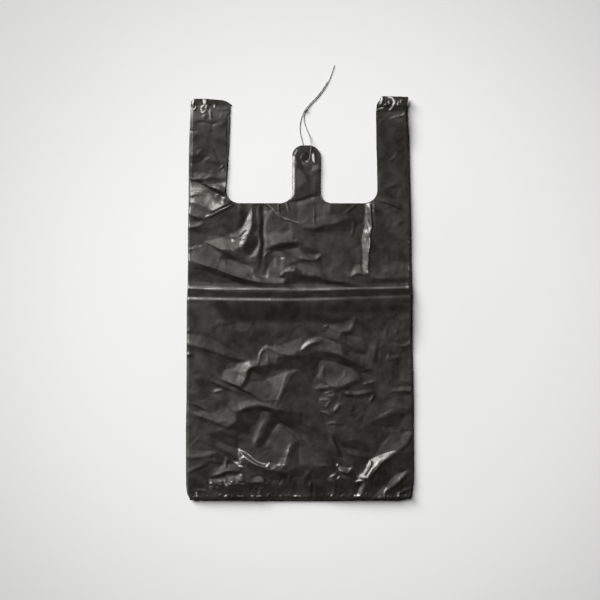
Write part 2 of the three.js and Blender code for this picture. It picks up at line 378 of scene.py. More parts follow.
def twisted_tube(name, route, diameter):
    """A tube along a route, with the outline of two plies that wind round each other."""
    ply = 0.5 - PLY_OFFSET
    points, faces = [], []
    up = Vector((0, 0, 1))
    travelled = 0.0
    for i, place in enumerate(route):
        ahead = route[min(i + 1, len(route) - 1)] - route[max(i - 1, 0)]
        ahead.normalize()
        side = ahead.cross(up).normalized()
        up = side.cross(ahead).normalized()
        travelled += (place - route[i - 1]).length if i else 0.0
        for k in range(RING_SIDES):
            angle = 2 * math.pi * k / RING_SIDES
            reach = diameter * (ply + PLY_OFFSET * abs(math.cos(angle)))
            turn = angle + 2 * math.pi * travelled / TWIST_PITCH
            points.append(place + (side * math.cos(turn) + up * math.sin(turn)) * reach)
    for i in range(len(route) - 1):
        for k in range(RING_SIDES):
            a, b = i * RING_SIDES + k, i * RING_SIDES + (k + 1) % RING_SIDES
            faces.append((a, b, b + RING_SIDES, a + RING_SIDES))
    faces.append(tuple(reversed(range(RING_SIDES))))
    faces.append(tuple(range(len(points) - RING_SIDES, len(points))))
    tube = make_object(name, points, faces, TWINE)
    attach(tube, "root")
    return tube


def route_length(route):
    return sum((b - a).length for a, b in zip(route, route[1:]))


def make_strand(name, offsets):
    route = curve_through([HOLE + Vector(offset) for offset in offsets], ROUTE_STEP)
    strand = twisted_tube(name, route, STRING_DIAMETER)
    return strand


def make_knot():
    """Loops of string wound round the two strands where they are tied."""
    middle = HOLE + Vector(KNOT_MIDDLE)
    along = Vector(KNOT_DIRECTION).normalized()
    side = Vector((along.y, -along.x, 0))
    route = []
    for k in range(round(KNOT_TURNS * KNOT_TURN_POINTS) + 1):
        share = k / (KNOT_TURNS * KNOT_TURN_POINTS)
        angle = 2 * math.pi * k / KNOT_TURN_POINTS
        girth = KNOT_GIRTH * math.sin(math.pi * (KNOT_SWELL[0] + KNOT_SWELL[1] * share)) + KNOT_CORE
        rise = Vector((0, 0, math.sin(angle) * girth * KNOT_FLATNESS))
        route.append(middle + along * (share - 0.5) * KNOT_LENGTH + side * math.cos(angle) * girth + rise)
    return twisted_tube("string_knot", curve_through(route, ROUTE_STEP), STRING_DIAMETER * KNOT_THREAD)


knot = make_knot()
long_strand = make_strand("string_long_strand", LONG_STRAND)
short_strand = make_strand("string_short_strand", SHORT_STRAND)
for piece in (long_strand, short_strand, knot):
    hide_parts("tie_string")


# Wrinkles


def gap_to(x, y, line):
    """Distances from places to a line."""
    gap = np.full(x.shape, np.inf)
    for a, b in zip(line, line[1:]):
        span = b - a
        t = np.clip(((x - a[0]) * span[0] + (y - a[1]) * span[1]) / (span @ span), 0, 1)
        gap = np.minimum(gap, np.hypot(x - a[0] - t * span[0], y - a[1] - t * span[1]))
    return gap


class Relief:
    """Heights in millimetres on a raster over the bag, and slopes towards the window to turn into heights."""

    def __init__(self):
        self.low = (-EDGE - RASTER_MARGIN, -TOP - RASTER_MARGIN)
        self.xs = np.arange(self.low[0], -self.low[0], CELL)
        self.ys = np.arange(self.low[1], -self.low[1], CELL)
        self.x, self.y = np.meshgrid(self.xs, self.ys)
        self.z = np.zeros_like(self.x)
        self.tilt = np.zeros_like(self.x)

    def lattice(self, seed, spacing, stretch=1):
        """Smooth noise from -1 to 1 between random values a spacing apart, or, with a stretch above 1, a
        spacing apart along the light and that many spacings apart across it."""
        if stretch > 1:
            fx = (self.x * AWAY[0] + self.y * AWAY[1] + TOP + EDGE) / spacing
            fy = (self.y * AWAY[0] - self.x * AWAY[1] + TOP + EDGE) / (spacing * stretch)
        else:
            fx, fy = (self.x - self.low[0]) / spacing, (self.y - self.low[1]) / spacing
        ix, iy = fx.astype(int), fy.astype(int)
        knots = np.random.RandomState(seed).uniform(-1, 1, (iy.max() + 2, ix.max() + 2))
        return blend_four(knots, ix, iy, smooth(fx - ix, 0, 1), smooth(fy - iy, 0, 1))

    def waver(self, seed, spacing, size):
        """Bends the lines that are drawn after it."""
        bend_x, bend_y = self.lattice(seed, spacing), self.lattice(seed + 1, spacing)
        self.x, self.y = self.x + size * bend_x, self.y + size * bend_y

    def patch(self, line, reach):
        """The part of the raster within reach of a line."""
        low = line.min(axis=0) - reach
        high = line.max(axis=0) + reach
        columns = slice(*np.searchsorted(self.xs, (low[0], high[0])))
        rows = slice(*np.searchsorted(self.ys, (low[1], high[1])))
        return rows, columns

    def pane(self, slope, corners, edge=PANE_EDGE):
        """Sets the slope towards the window inside an outline, whose edge is blurred to both sides."""
        corners = np.asarray([spot(pixel) for pixel in pairs(corners)])
        area = self.patch(corners, edge + WAVER)
        x, y = self.x[area], self.y[area]
        outline = np.vstack([corners, corners[:1]])
        gap = gap_to(x, y, outline)
        inside = np.zeros(x.shape, bool)
        for a, b in zip(outline, outline[1:]):
            crossed = (a[1] > y) != (b[1] > y)  # a level side is never crossed, so any rise will do
            inside ^= crossed & (x < a[0] + (y - a[1]) / (b[1] - a[1] or 1) * (b[0] - a[0]))
        cover = smooth(np.where(inside, gap, -gap), -edge, edge)
        self.tilt[area] = mix(self.tilt[area], slope, cover)

    def stroke(self, height, line):
        """Adds a thin line with blurred edges."""
        line = np.asarray(line)
        area = self.patch(line, GLINT_EDGE)
        gap = gap_to(self.x[area], self.y[area], line)
        self.z[area] += height * (1 - smooth(gap, GLINT_HALF, GLINT_EDGE))

    def raise_tilts(self):
        """Adds the heights whose slopes towards the window come nearest to the ones that were set."""
        rim = round(LONGEST / 2 / CELL)
        padded = np.pad(self.tilt, rim)
        kx = 2 * math.pi * np.fft.rfftfreq(padded.shape[1], CELL)
        ky = 2 * math.pi * np.fft.fftfreq(padded.shape[0], CELL)[:, None]
        along = kx * AWAY[0] + ky * AWAY[1]
        weight = along**2 + STRAY * (kx**2 + ky**2) + (2 * math.pi / LONGEST) ** 2
        heights = np.fft.irfft2(-1j * along * np.fft.rfft2(padded) / weight, padded.shape)
        self.z += heights[rim:-rim, rim:-rim]

    def crease(self, height, left, right, line, taper=TAPER):
        """Raises a crisp ridge along a line, or sinks a groove where height is negative. Its flanks are flat
        and run left and right of the way the line goes, and it fades out towards both ends."""
        line = np.asarray(line, float)
        area = self.patch(line, max(left, right) + WAVER)
        x, y = self.x[area], self.y[area]
        nearest = np.full(x.shape, np.inf)
        sided = np.zeros(x.shape)
        along = np.zeros(x.shape)
        total = 0.0
        for start, span in zip(line, np.diff(line, axis=0)):
            length = math.hypot(*span)
            dx, dy = x - start[0], y - start[1]
            t = np.clip((dx * span[0] + dy * span[1]) / length**2, 0, 1)
            gap = np.hypot(dx - t * span[0], dy - t * span[1])
            closer = gap < nearest
            nearest = np.where(closer, gap, nearest)
            sided = np.where(closer, span[0] * dy - span[1] * dx, sided)
            along = np.where(closer, total + t * length, along)
            total += length
        flank = np.maximum(0, 1 - nearest / np.where(sided > 0, left, right))
        ends = np.minimum(along, total - along) / (taper * total)
        self.z[area] += height * flank * np.clip(ends, 0, 1)

    def scatter(self, seed, count, corner, other, lengths, heights, widths, angle, spread):
        """Strews short creases over a box between two photo pixels."""
        draw = np.random.RandomState(seed)
        for _ in range(count):
            share = draw.uniform(0, 1, 2)
            middle = np.array(spot((mix(corner[0], other[0], share[0]), mix(corner[1], other[1], share[1]))))
            turn = math.radians(angle + draw.uniform(-spread, spread))
            half = draw.uniform(*lengths) / 2
            step = np.array((math.cos(turn), math.sin(turn))) * half
            bow = np.array((-step[1], step[0])) * draw.uniform(-SHORT_BOW, SHORT_BOW)
            height = draw.uniform(*heights) * draw.choice((GROOVE_SHARE, 1.0))
            left, right = draw.uniform(*widths, 2)
            self.crease(height, left, right, [middle - step, middle + bow, middle + step], SHORT_TAPER)

    def soften(self):
        """Rounds the crests a little."""
        z = self.z
        z[:, 1:-1] = (z[:, :-2] + 2 * z[:, 1:-1] + z[:, 2:]) / 4
        z[1:-1] = (z[:-2] + 2 * z[1:-1] + z[2:]) / 4

    def sample(self, x, y):
        """Heights at places between the raster's points."""
        fx = np.clip((x - self.low[0]) / CELL, 0, len(self.xs) - LAST_CELL)
        fy = np.clip((y - self.low[1]) / CELL, 0, len(self.ys) - LAST_CELL)
        ix, iy = fx.astype(int), fy.astype(int)
        return blend_four(self.z, ix, iy, fx - ix, fy - iy)


def blend_four(grid, ix, iy, tx, ty):
    """A grid's values between the four points round each place."""
    near = mix(grid[iy, ix], grid[iy, ix + 1], tx)
    far = mix(grid[iy + 1, ix], grid[iy + 1, ix + 1], tx)
    return mix(near, far, ty)


def rounded_line(pixels):
    """A smooth line on the bag through photo pixels."""
    points = [Vector((*spot(pixel), 0)) for pixel in pairs(pixels)]
    if len(points) > 2:
        points = curve_through(points, route_length(points) / (LINE_POINTS * (len(points) - 1)))
    return [tuple(p)[:2] for p in points]


# The creases that the photo shows, by the part of the bag. Each has its height and how far its left and
# right flanks run as its line goes, in millimetres, then the photo pixels that its crest runs through.
# The light falls on the ridges' left flanks. A groove has a negative height.
CREASES = [
    # Left handle
    (-0.8, 2.2, 2.2, "194,124 197,122.5 204,123.3 213,124.6 221,121.5"),
    (-0.9, 2, 2, "184,131.5 199,131"),
    (0.8, 2.2, 1.2, "211.3,122 211,114 209.8,108.5"),
    (0.3, 3, 2, "204.5,122 204,111"),
    (0.5, 2.5, 2, "202,160.5 208,159.5 212,156.5"),
    (0.6, 4, 4, "203,160.5 214,161.5 223,163.8"),
    (0.9, 1.5, 1.5, "221.5,169 223.3,164.5"),
    (-0.5, 3, 3, "213,148 218,157 221,162"),
    (0.5, 3, 2, "196,156 204,149"),
    (0.7, 6, 4, "178,180 196,179.5 206,178.5 212,176.8 226,177"),
    (2, 5, 3.5, "199,185 206,185 212,187 218,189.5 223,191.5 229,195"),
    (0.8, 3, 2, "184,197 195,195 203,194.5"),
    (0.8, 2, 2, "215,196 221,193.5"),
    (1.2, 3, 2, "223,204 226,196"),
    # Left handle's weld
    (1.2, 2.5, 1.5, "193.5,109 194.8,98"),
    (1.3, 4, 1.5, "206,105 206.5,96"),
    (0.9, 1.5, 1.5, "195,107.5 198,105.5"),
    (1.1, 1.5, 1.5, "201,109.5 203,106.5 206,104.5"),
    (0.9, 1.5, 1.2, "205.5,109 207.5,105.5"),
    (1, 1.5, 1.5, "200.5,112.5 205,111.5 207,110"),
    (0.6, 2, 2, "214.8,109 214.6,104"),
    (0.6, 3, 2, "215,108.5 222,109.5 231,110"),
    # Right handle
    (0.6, 2.2, 1.6, "389,119.5 398,116.8 402,116 408,112.5"),
    (-0.7, 3.5, 1.5, "386,125 398,130 411,135"),
    (0.35, 1.8, 1.4, "389,161 394.5,157.2 397.4,150.5"),
    (0.5, 3, 3, "383,188 397,184"),
    (1.3, 4, 2, "375,198.3 389,203.5 406,210.5"),
    (0.5, 2.5, 1.4, "379,197 389,200 400,204.5"),
    # Right handle's weld
    (1.2, 2.5, 1.5, "381.5,106 382.8,94"),
    (0.8, 1.5, 1.2, "383,105.5 387,104"),
    (0.8, 1.2, 1.2, "398,106.5 398,102"),
    (0.7, 1.2, 1.2, "400.5,104 402,100"),
    # Tab
    (1.2, 3, 9, "295.6,203 295.3,175 295.2,149"),
    (-1.1, 2.4, 5, "287,201 296,201.5 303,200 309,198 314,196.5 323,195.5"),
    (0.7, 3.2, 1.6, "315.5,165 315,158 313.5,151.5"),
    (0.6, 6, 5, "310,171.5 316,169.5 321,167"),
    (0.7, 7, 8, "302,194 303,178 299,165"),
    # Upper left
    (2, 18, 6, "176,257 190,262 210,267 230,274.5 250,280 266,283 290,283"),
    (1.3, 12, 5, "205,241 222,250 240,261 248,264"),
    (1.2, 1.5, 1.2, "241,241 248,233"),
    (0.5, 2, 1.5, "257,222 260,205"),
    (0.5, 2, 1.5, "255,238 261,227"),
    (-1.2, 4, 4, "262.5,196 263,240 262,262 258,275"),
    (0.8, 1.3, 1.3, "262,199 275,212 281,217.5 290,220 302,223.5"),
    (0.9, 1.5, 1.2, "279,214 279,199"),
    (0.9, 1.6, 1.3, "288.4,212 286.5,198"),
    (1.2, 14, 5, "266,248 280,243 296,241"),
    (0.6, 2, 1.5, "264.5,259 267,253 273,250.5"),
    (0.6, 3, 2, "252,275.5 263,280.5"),
    (0.9, 9, 1.6, "207,215 220,208.5 233,201"),
    (1.1, 1.6, 1.4, "204,218.5 213,215 222,210.5 234,204.5"),
    (0.8, 8, 3, "180,209 189,213 197,217 206,220.5"),
    (0.5, 3, 2, "184,230 206,223.5"),
    (0.8, 2.5, 1.5, "186,251 201,245.5"),
    (0.5, 3, 2, "222,238 238,237"),
    # Upper right
    (1, 2.5, 1.5, "368,278 368,262 369,252 370,243 370,234 371.5,225 371,213 371,196"),
    (0.8, 3, 2, "366,243 368,233 367,222"),
    (0.7, 3, 2, "375,219 374,198"),
    (0.8, 5, 2.5, "350,277.5 357,274 369,273.5"),
    (1.6, 12, 5, "296,273 310,275.5 322,277 335,280.5 350,283.5 362,286.5 373,289.5"),
    (0.8, 3, 2, "296,257.5 310,260 317.5,259.5 323.5,253"),
    (1.1, 10, 6, "300,227 315,227.5 325,224.5 336,223 353,218"),
    (0.5, 1.4, 1.2, "314,227 314,206"),
    (0.6, 3, 2, "352,237 354,221"),
    (0.6, 3, 2, "342,215 350,210.5 358,202.5"),
    (1.2, 14, 5, "368,277.5 385,278.5 403,278 420,276"),
    (0.7, 3, 2, "408.5,292 408.5,272"),
    # Lower left
    (0.8, 6, 4, "178,341 188,344 204,347.5 218,352 231,356.5 246,361"),
    (1.5, 9, 5, "239,389 245,379 247.5,371 252,366.5 260,362.5"),
    (0.8, 2.5, 3, "258.5,364 259.5,356 262,350.5 266.5,346.5"),
    (1, 7, 5, "265,346 275,350 283,354 296,354.5 301,351.5"),
    (0.6, 2, 1.5, "268.3,363 268,354"),
    (1.5, 12, 2.5, "219,377.5 232,383.5 243,388.5 252,394 262,400.5"),
    (1.1, 3, 3, "208,379 220,384.5 231,389.5 242,395"),
    (1.4, 12, 5, "276,402 282,389 285.5,378.5 289,373.5 299,370"),
    (0.8, 4, 2.5, "212,393 225,388.5"),
    (0.4, 4, 4, "210,323.5 240,321"),
    (0.7, 3, 3, "180,331 193,330"),
    (0.8, 3, 3, "180,354 194,354.5"),
    # Lower right
    (1.2, 3.5, 5, "299,352 306,346 312,342.5 323,340"),
    (1.6, 13, 6, "317,348.5 331,352 341,355 351,360 361,364.5 371,371"),
    (0.7, 4, 4, "324,325.5 334,329 342,331 350,330.5 353.5,325 356.5,316"),
    (0.9, 2, 2, "324,327 329,325"),
    (0.7, 6, 4, "338,340 352,347 364,354.5"),
    (0.8, 9, 4, "371,370 375,352 376.5,338"),
    (0.4, 3, 3, "391,343 402,346.5 409,343.5 414,335"),
    (0.6, 4, 3, "387,360 401,355.5"),
    (1.5, 15, 5, "327,386 340,387.5 349,382.5 362,377.5"),
    (0.4, 3, 2, "324.3,380 324,365"),
    (0.6, 3.5, 3, "312,388 322,388.3 332,390"),
    (0.7, 3, 2, "323,393 334,391"),
    (0.8, 3, 2, "318,400 331,399"),
    (0.8, 3, 2, "326,408.5 332.5,399"),
    (0.6, 4, 3, "337,390 347,394 360,393.8 376,391"),
    (0.9, 3, 2, "362,384.5 377,381.5"),
    (1, 3, 2, "370,403 375.5,393.5"),
    (0.6, 3, 2, "360,372 370,369"),
    (0.6, 4, 3, "388,392 396,391.2 424,391"),
    # Bottom left
    (1, 8, 4, "184,410 193,414 203,417.5 213,420.5 223,425 229,425.5 237,420"),
    (0.9, 3, 2, "192,402 211,413.5"),
    (1.1, 7, 5, "232,413 242,409 248,406 256,405 266,406 274,408.5 286,412"),
    (0.5, 4, 4, "253.5,452 257,438 262,425 271,413"),
    (0.7, 3, 8, "264,449 271,435 280,422"),
    (-1.2, 8, 4, "280,422 290,430 302,438.5"),
    (0.6, 2, 1.5, "283.5,469 287,457 290,442"),
    (0.5, 2.5, 2, "268,472 276,468 283,461"),
    (0.8, 1.6, 1.6, "237.5,448.8 243.6,451.6 249,454.8 255.8,461.4 263,464.6 270.5,463"),
    (0.5, 3, 2, "237,483 245,471"),
    (1.5, 8, 2.5, "209,477 221,473.3 231,470.8 241,471.8"),
    (0.8, 3, 2, "226.5,470 226,455"),
    (0.7, 5, 3, "184,459.5 205,456 219,451.5"),
    (0.7, 4, 3, "201,458.5 214,461 224,463.3"),
    (0.8, 4, 3, "184,474 198,467.5 208,462.5"),
    (0.9, 5, 4, "215,443.5 226,450 238,457"),
    (0.6, 4, 3, "229,430.5 240,437 249,442"),
    (0.8, 2, 2, "246,480.5 255,482.2 264,483.8"),
    # Bottom right
    (0.8, 3, 2, "320,412 328,414.3 333,416.5"),
    (1, 4, 3, "332,413 341,404"),
    (0.8, 3, 2, "326,424.5 335,422.8 345,424"),
    (0.9, 8, 3, "342,458 336,446 331,434"),
    (0.5, 4, 3, "342,450 355,455 369,458.5"),
    (0.6, 4, 4, "372,419.5 383,416.3 396,409"),
    (0.8, 8, 3, "394,453 404,446.5 409.5,439.5 415,430"),
    (1.2, 4, 3, "356,482.5 366,479 372,472.5 378,466.5 384,460 398,451"),
    (1, 1.4, 1.2, "368,474 376,465 384,457"),
    (0.6, 2, 1.5, "355,501 361,491 365,480"),
    (0.8, 4, 3, "373,497 386,490.5 394,485 402,478.5 412,470.5"),
    (0.6, 2, 2, "326,484 330,476.5 338,473.5"),
    (0.5, 2, 1.5, "336,481 342,475.5"),
    (0.6, 2, 2, "332.5,500 335,488 334,478"),
    (-0.6, 1.4, 1.4, "176,497.6 424,497.6"),
    (1, 3, 2, "396,495 405,490.8 415,487"),
    (0.7, 4, 3, "302,487 307,475 314,466.5"),
]

# The flat-looking facets between the creases, in the order that they overlay one another: each has its
# slope, positive where it faces the window, then the photo pixels of its corners.
PANES = [
    # Right handle
    (-0.2, "376,103 412,106 412,112 396,111.5 384,113 376,112.5"),
    (0.05, "376.5,168 382,170 381.5,190 377,192"),
    # Left handle
    (-0.02, "194,134 210,136 208,150 196,148"),
    (-0.03, "212,138 226,142 226,160 218,156"),
    (-0.14, "189,156 207,155 203,160 196,163 189,164"),
    (-0.07, "190,166 198,166 197,172 190,173"),
    (0.1, "196,172 226,172 226,178 206,178 192,179"),
    (-0.1, "189,180 206,179.5 212,182 206,186 189,185.5"),
    (0.23, "208,185 226,182 226,189 217,188"),
    (0, "202,186 212,188 219,191 227,195 229,198 218,193.5 208,190"),
    # Left handle's foot
    (0.31, "186,187 202,187 214,192 224,197 231,202 221,208 209,213 205,219 186,212"),
    (0.36, "213,203 222,198 231,202 220,207 214,210"),
    (0.32, "199,195 206,194 207,201 200,203"),
    (0.13, "186,203 197,203 206,207 213,211.5 206,218 204,219 186,213"),
    (0.02, "204,219 222,210.5 236,203.5 238,207 222,214 208,221"),
    (0.04, "206,221 236,206 241,204 240,228 233,236 222,236 210,230"),
    (0.1, "186,228 190,222 204,221 200,226"),
    (-0.06, "186,229 200,227 212,229 207,233 190,232"),
    # Left shoulder
    (0.06, "186,233 220,236 216,241 186,250"),
    (0.19, "204,241 222,237.5 240,238 240,247 236,250 222,250"),
    (0.14, "186,260 186,250 205,243 220,251 223,257 234,260.5 243,264.5 249,266 256,270.5 264,276 285,278 "
           "284,283 266,283 250,280 230,274 210,268 196,262"),
    (-0.03, "219,257.6 226,252.5 232,252 240,257 244,264 232,260"),
    (-0.06, "186,267 210,268 230,275 250,281 266,284 287,284 288,287 240,285 186,280"),
    (0.2, "252,275 263,276 266,279 270,281 284,279 282,283 266,283 252,280"),
    # Streaks on the left
    (-0.05, "241,201 249,201 248,221 242,228 236,229 240,220"),
    (0.2, "230,234 240,229 244,231 240,241 231,243"),
    (0.04, "247,202 252,202 252,210 247,212"),
    (0.32, "251,208.5 252.4,212 252.3,222 251,228 248.5,235 246,241 240.8,249 239,247 239.3,238 239,232 "
           "243,226.5 246.5,219.5 249,213.5"),
    (-0.06, "252.8,204 256.5,204 256.5,226 253,232 250,240 251.5,229"),
    (0.12, "257,224 258.5,212 261,208 262,212 260,222 257.5,226"),
    (-0.08, "246,240 256,240 258,246 250,252 238,253 243,247"),
    (0.1, "243,256 257,254 257,261 247,262"),
    (0.27, "259.2,236 260.3,244 258.6,251 256.6,256 248,257.5 252,253.5 257,246"),
    (0.25, "255.6,236.8 260.3,229.5 260,232 257,237"),
    (-0.05, "260,200 264.5,200 264,262 258,274 252,273 259,262 261,246 261,228"),
    # Below the left notch
    (0.07, "264,206 277,213 283,220 292,222.5 293,232 300,238 297,242 280,243.5 270,247 264,248"),
    (0.2, "265,212 273,210 271,215 266,220"),
    (0.12, "268,236 282,230 290,224 292,234 296,240 280,242 270,245"),
    (0.02, "278,232 288,224 290,229 284,234"),
    (-0.1, "268,249 280,244.5 297,242 302,246 285,250 275,252"),
    (0.12, "284,249 302,247 302,260 290,255"),
    (0.1, "270,252 280,251 290,256 300,260 300,270 286,272 280,276 272,277 266,277 269,266 274,257"),
    (0.22, "265,279.5 267.5,270 269.5,267 269,274 267,280"),
    (0.2, "273.6,258 275.4,257.5 275.4,267 273.6,267"),
    (0.17, "280.3,258 283.5,257.5 283.3,268 281,268"),
    (0.3, "279.5,277.5 281,273.5 284,271.5 283,275"),
    (0.33, "284.5,269 290,266.8 296,268.5 294,271.2 285,271.5"),
    (-0.04, "288,263 300,259 300,263 290,267"),
    (-0.03, "259,262 265,256 269,262 266,270 263,276 254,274"),
    (-0.12, "280,277 286,272 302,272 302,280 289,287 284,284 286,279"),
    # Tab
    (-0.1, "295.5,158 300,160 304,165 309,166 315,163 316,165 310,170 304,173 298,168"),
    (0.09, "296,168 303,172 306.5,181 298,190 296,188"),
    (0.08, "312,165.4 319,164 319,169 315.6,173 312.4,170"),
    (-0.08, "315.6,174 319.6,170 319.6,194 315.6,193"),
    (0.1, "312,155 313.4,153.8 314.6,158.8 315.2,163 311.8,160"),
    # Below the tab
    (0.04, "286,202 322,200 330,210 327,220 318,226 303,227 294,222"),
    (0.09, "316,204 332,204 328,212 324,219 316,221"),
    (0.08, "298,206 303,204 302,220 297,219"),
    (0.04, "292,226 303,228 303,238 292,240"),
    (-0.09, "303,229 315,228 325,224.5 336,224 345,218.5 356,219 358,224 350,232 340,231 310,233"),
    (0.04, "300,235 320,237 345,234 355,242 348,250 330,257 322,256 320,249 305,246"),
    (-0.06, "300,246 318,250 321,252 312,256 300,251"),
    (0.14, "285,250 296.5,249 306,253.5 313,254.5 322,252.5 317,259.5 308,259.5 298,256"),
    (0.1, "298,262 312,266 318,270 323,276.5 310,274 298,272"),
    (-0.04, "314,261 332,265 321,272 316,267"),
    # Right of the middle
    (0.07, "322,258 350,250 360,245 361,265 352,272 350,278 330,275 322,268"),
    (0.2, "350.5,277 352,270 355,265 361,264 362,272 357,273.5"),
    (0.05, "322,276 335,278 350,279 357,281 362,286.5 350,284 335,281 322,278.5"),
    (-0.13, "298,274 318,278 335,282 350,285 362,288 340,286.5 320,284 298,281"),
    (-0.03, "330,206 352,204 350,210 340,216 330,219"),
    # Bright band
    (0.26, "365.5,203 370.3,203 370.6,214 370.8,224 370,230 369.6,241 368.8,256 368.3,265 368,273.5 "
           "363,273.5 361.9,262 362.2,250 361,239.5 362.2,230 364.2,222 365,213"),
    (0.55, "366.2,203 369.3,203 369.5,212 369,220 370.6,225 369.6,234 366,233 367.5,222 366.2,212"),
    (0.46, "368.2,239 370,239 369,252 367.4,252"),
    (0.24, "366,268 368,266 368,273.5 366.6,273.5"),
    (0.12, "372,204 377,204 375,228 372,240"),
    (0.01, "376,212 412,214 412,262 371,262 372,240"),
    (0.07, "371,263 390,262 412,262 412,276 385,278 370,277"),
    (-0.05, "371,279 385,279 405,279 400,283 380,286 371,286"),
    # Above the middle ridge
    (0.07, "184,333 205,336 222,344 244,357.5 242,360 231,357 218,352 204,347 184,342"),
    (-0.06, "184,344 204,348 218,353 231,358 244,361 235,366 222,362 205,355 184,350"),
    (0.05, "396,303 413,302 413,318 397,318"),
    # Middle ridge
    (0.17, "222,378 223,371 230,366 240,362.5 250,360.5 258,361 258,366 250,368 246,372 244,380 241,387 "
           "232,383"),
    (0.24, "232,371 238,364.5 250,361 257,361.5 250,366.5 246,370.5 240,372"),
    (0.13, "257,361 258,353 262,347 267,344 272,346 264.5,350 261.5,356 260.5,361"),
    (0.1, "267,345.5 277,347 290,341 302,337 302,347 296,352 292,354 278,354 272,350"),
    (0.09, "262,351 266,348 278,354 279,360 276,364 266,365 259,366 260.5,358"),
    (0.2, "300,350 304,341.5 308,338 316,336 321,337 324,340.5 318,341.5 310,344 305,349"),
    (0.1, "322,338 332,341 341,346 342,354 332,352 325,347"),
    (-0.13, "277,358 290,355.5 300,354.5 310,353 318,356 317,372 314,379 308,378 300,369 286,369 272,371 "
            "266,378 258,377 248,371 255,367 266,366 270,362 275,365.5"),
    (0.1, "246,373 254,371 264,379 250,381 244,386"),
    # Under the middle ridge
    (0.13, "242,389 250,382 262,380 280,374 290,371 298,370 290,376 285,384 282,392 277,400 262,400 252,394"),
    (0.19, "282,381 287,373 298,370 290,376 285,388 278,400 274,400 281,388"),
    (-0.04, "287,390 292,378 300,372 312,380 314,392 298,398 285,398"),
    (0.06, "214,387 232,391 242,396 252,402 225,404 212,396"),
    (0.15, "212,392 216,388 225,389 222,392"),
    (-0.05, "198,380 208,378 211,388 208,400 200,398"),
    (0.02, "184,362 200,362 199,378 184,380"),
    # Upper right facets
    (0.12, "325,326 328,324 340,323 349,320 354,316 356.5,317 352,325 349,330 341,331 339,338 336,333 "
           "328,327"),
    (0.07, "325,327 337,332 338,339 332,339 326,335"),
    (-0.05, "341,332 350,331 358,333 350,336"),
    (0.07, "340,335 350,335 362,338 368,349 363,353 352,345 343,341"),
    (-0.06, "340,341 352,346 361,351 366,353 362,356 346,352 342,347"),
    (0.06, "346,352 360,355 368,352 372,332 377,334 376,372 368,368 352,360"),
    (0.03, "378,332 392,330 392,396 378,400"),
    (0.1, "392,343 402,345 411,339 414,343 403,347.5"),
    (0.07, "385,353 398,354 400,358 390,360"),
    (0.08, "399,360 413,358 413,382 400,380"),
    # Lower right facets
    (-0.12, "314,351 322,350.5 332,353.5 345,357.5 352,361 362,366 368,370 360,374 350,367 335,362 319,360 "
            "310,356"),
    (0.08, "320,361 335,362 350,368 358,375 360,378.5 350,382 342,386 335,386.5 328,386 322,380 317,378 "
           "318,368"),
    (0.12, "340,378 350,376 358,377.5 348,382 341,385.5 334,386"),
    (0.13, "317,377 320,366 323,366 323,377"),
    (0.14, "314.5,388 318,384 324,383 328.5,386.5 322,388.2"),
    (-0.05, "317,389 330,389.3 322,392 318,396"),
    (0.22, "324,392 333,390 334.5,394.5 327,396"),
    (0.1, "319,397 331,397.5 326,402 319,402"),
    (0.11, "338,388 350,391 368,390 374,391.5 360,394 347,394.5"),
    (-0.09, "346,397 350,395 358,394.5 376,392.5 372,397 355,399"),
    (0.1, "363,381 376,380.5 370,384 362,384.5"),
    (-0.05, "362,386 374,384 376,388 364,389"),
    (0.1, "389,392 394,387 413,385.5 413,391 396,391"),
    (0.04, "389,394 400,391.5 414,392 405,396"),
    (0.07, "392,397 413,394 413,410 380,405"),
    # Lower left facets
    (0.1, "192,412.5 200,411 212,412 225,408 235,404 240,409 235,413 236.5,421 228,425.5 222,425 213,420.5 "
          "203,417.5"),
    (0.1, "225,404 240,400 260,402 255,405 245,408 236,411 226,409"),
    (0.1, "256,402 270,402 283,410 274,408.5 264,405"),
    (-0.13, "237,412 245,408.5 256,406 266,407 272,411 262,416 252,428 248,436 238,432 230,427 237,421"),
    (0.07, "261,411 270,411 267.5,421 263,430 258.5,439 254.5,448 251.5,440 247,436.5 251,436 255.5,427 "
           "258.5,418"),
    (0.12, "253,434 258,428 262,420 262,428 257.5,439 254.5,445"),
    (-0.14, "272,414 280,411 302,412 302,437 290,428 281,422.5 276,430 266,442 260,448 256,448 262,436 "
            "267,424"),
    (0.1, "281,423 278,424 272,434 264,448 280,446 292,444 302,440 302,437.5 290,429"),
    (0.15, "281,423 277,424 271,434 264,448 268,447 277,434"),
    (0.03, "250,450 266,449 278,462 268,462 258,457"),
    (0.12, "266,449 280,446 285,445 283,462 278,461"),
    (0.2, "284,447 290.5,443.5 288,457 285.5,465.5 278,464 283,457"),
    (0.16, "269,462.5 278,464.5 285,463.5 279,471 272,469"),
    (0.2, "286.3,446 290.8,444.6 289,457 286.5,464 285,464 287.4,456"),
    # Left of the crescents
    (0.03, "184,428 204,430 215,448 184,448"),
    (0.07, "184,449 210,450 219,451 205,455.5 184,458"),
    (0.03, "215,441 226,446 238,452 238,458 226,452 217,446"),
    (-0.1, "206,434 222,430 240,440 238,448 226,445 216,439"),
    (-0.09, "200,441 216,447 232,457 244,468 256,478 250,470 238,459 222,451"),
    (-0.12, "244,459 256,464.5 266,469.5 278,473 290,471 298,466 302,476 280,480 262,478"),
    (0.06, "245,463 255,473 262,480 250,482 243,478 243,470"),
    (0.13, "218,470 222,462 226,456 229,464 238,466 241,471.5 231,470.5 222,472.5 211,476.5"),
    (-0.06, "214,477 222,474.3 231,472.3 239,472.3 238,474.5 226,477 216,479"),
    (0.2, "209,479 220,478 238,475 240,482 234,484.5 229,483 227,488 222,485 218.6,489 214,485.5 211,488"),
    (0.2, "209,480 213,479.4 212.6,484 210,486"),
    (0.25, "216,478.4 222,477.6 221,484 217,482"),
    (0.16, "222.6,478 225,477.4 226,484 223.6,485"),
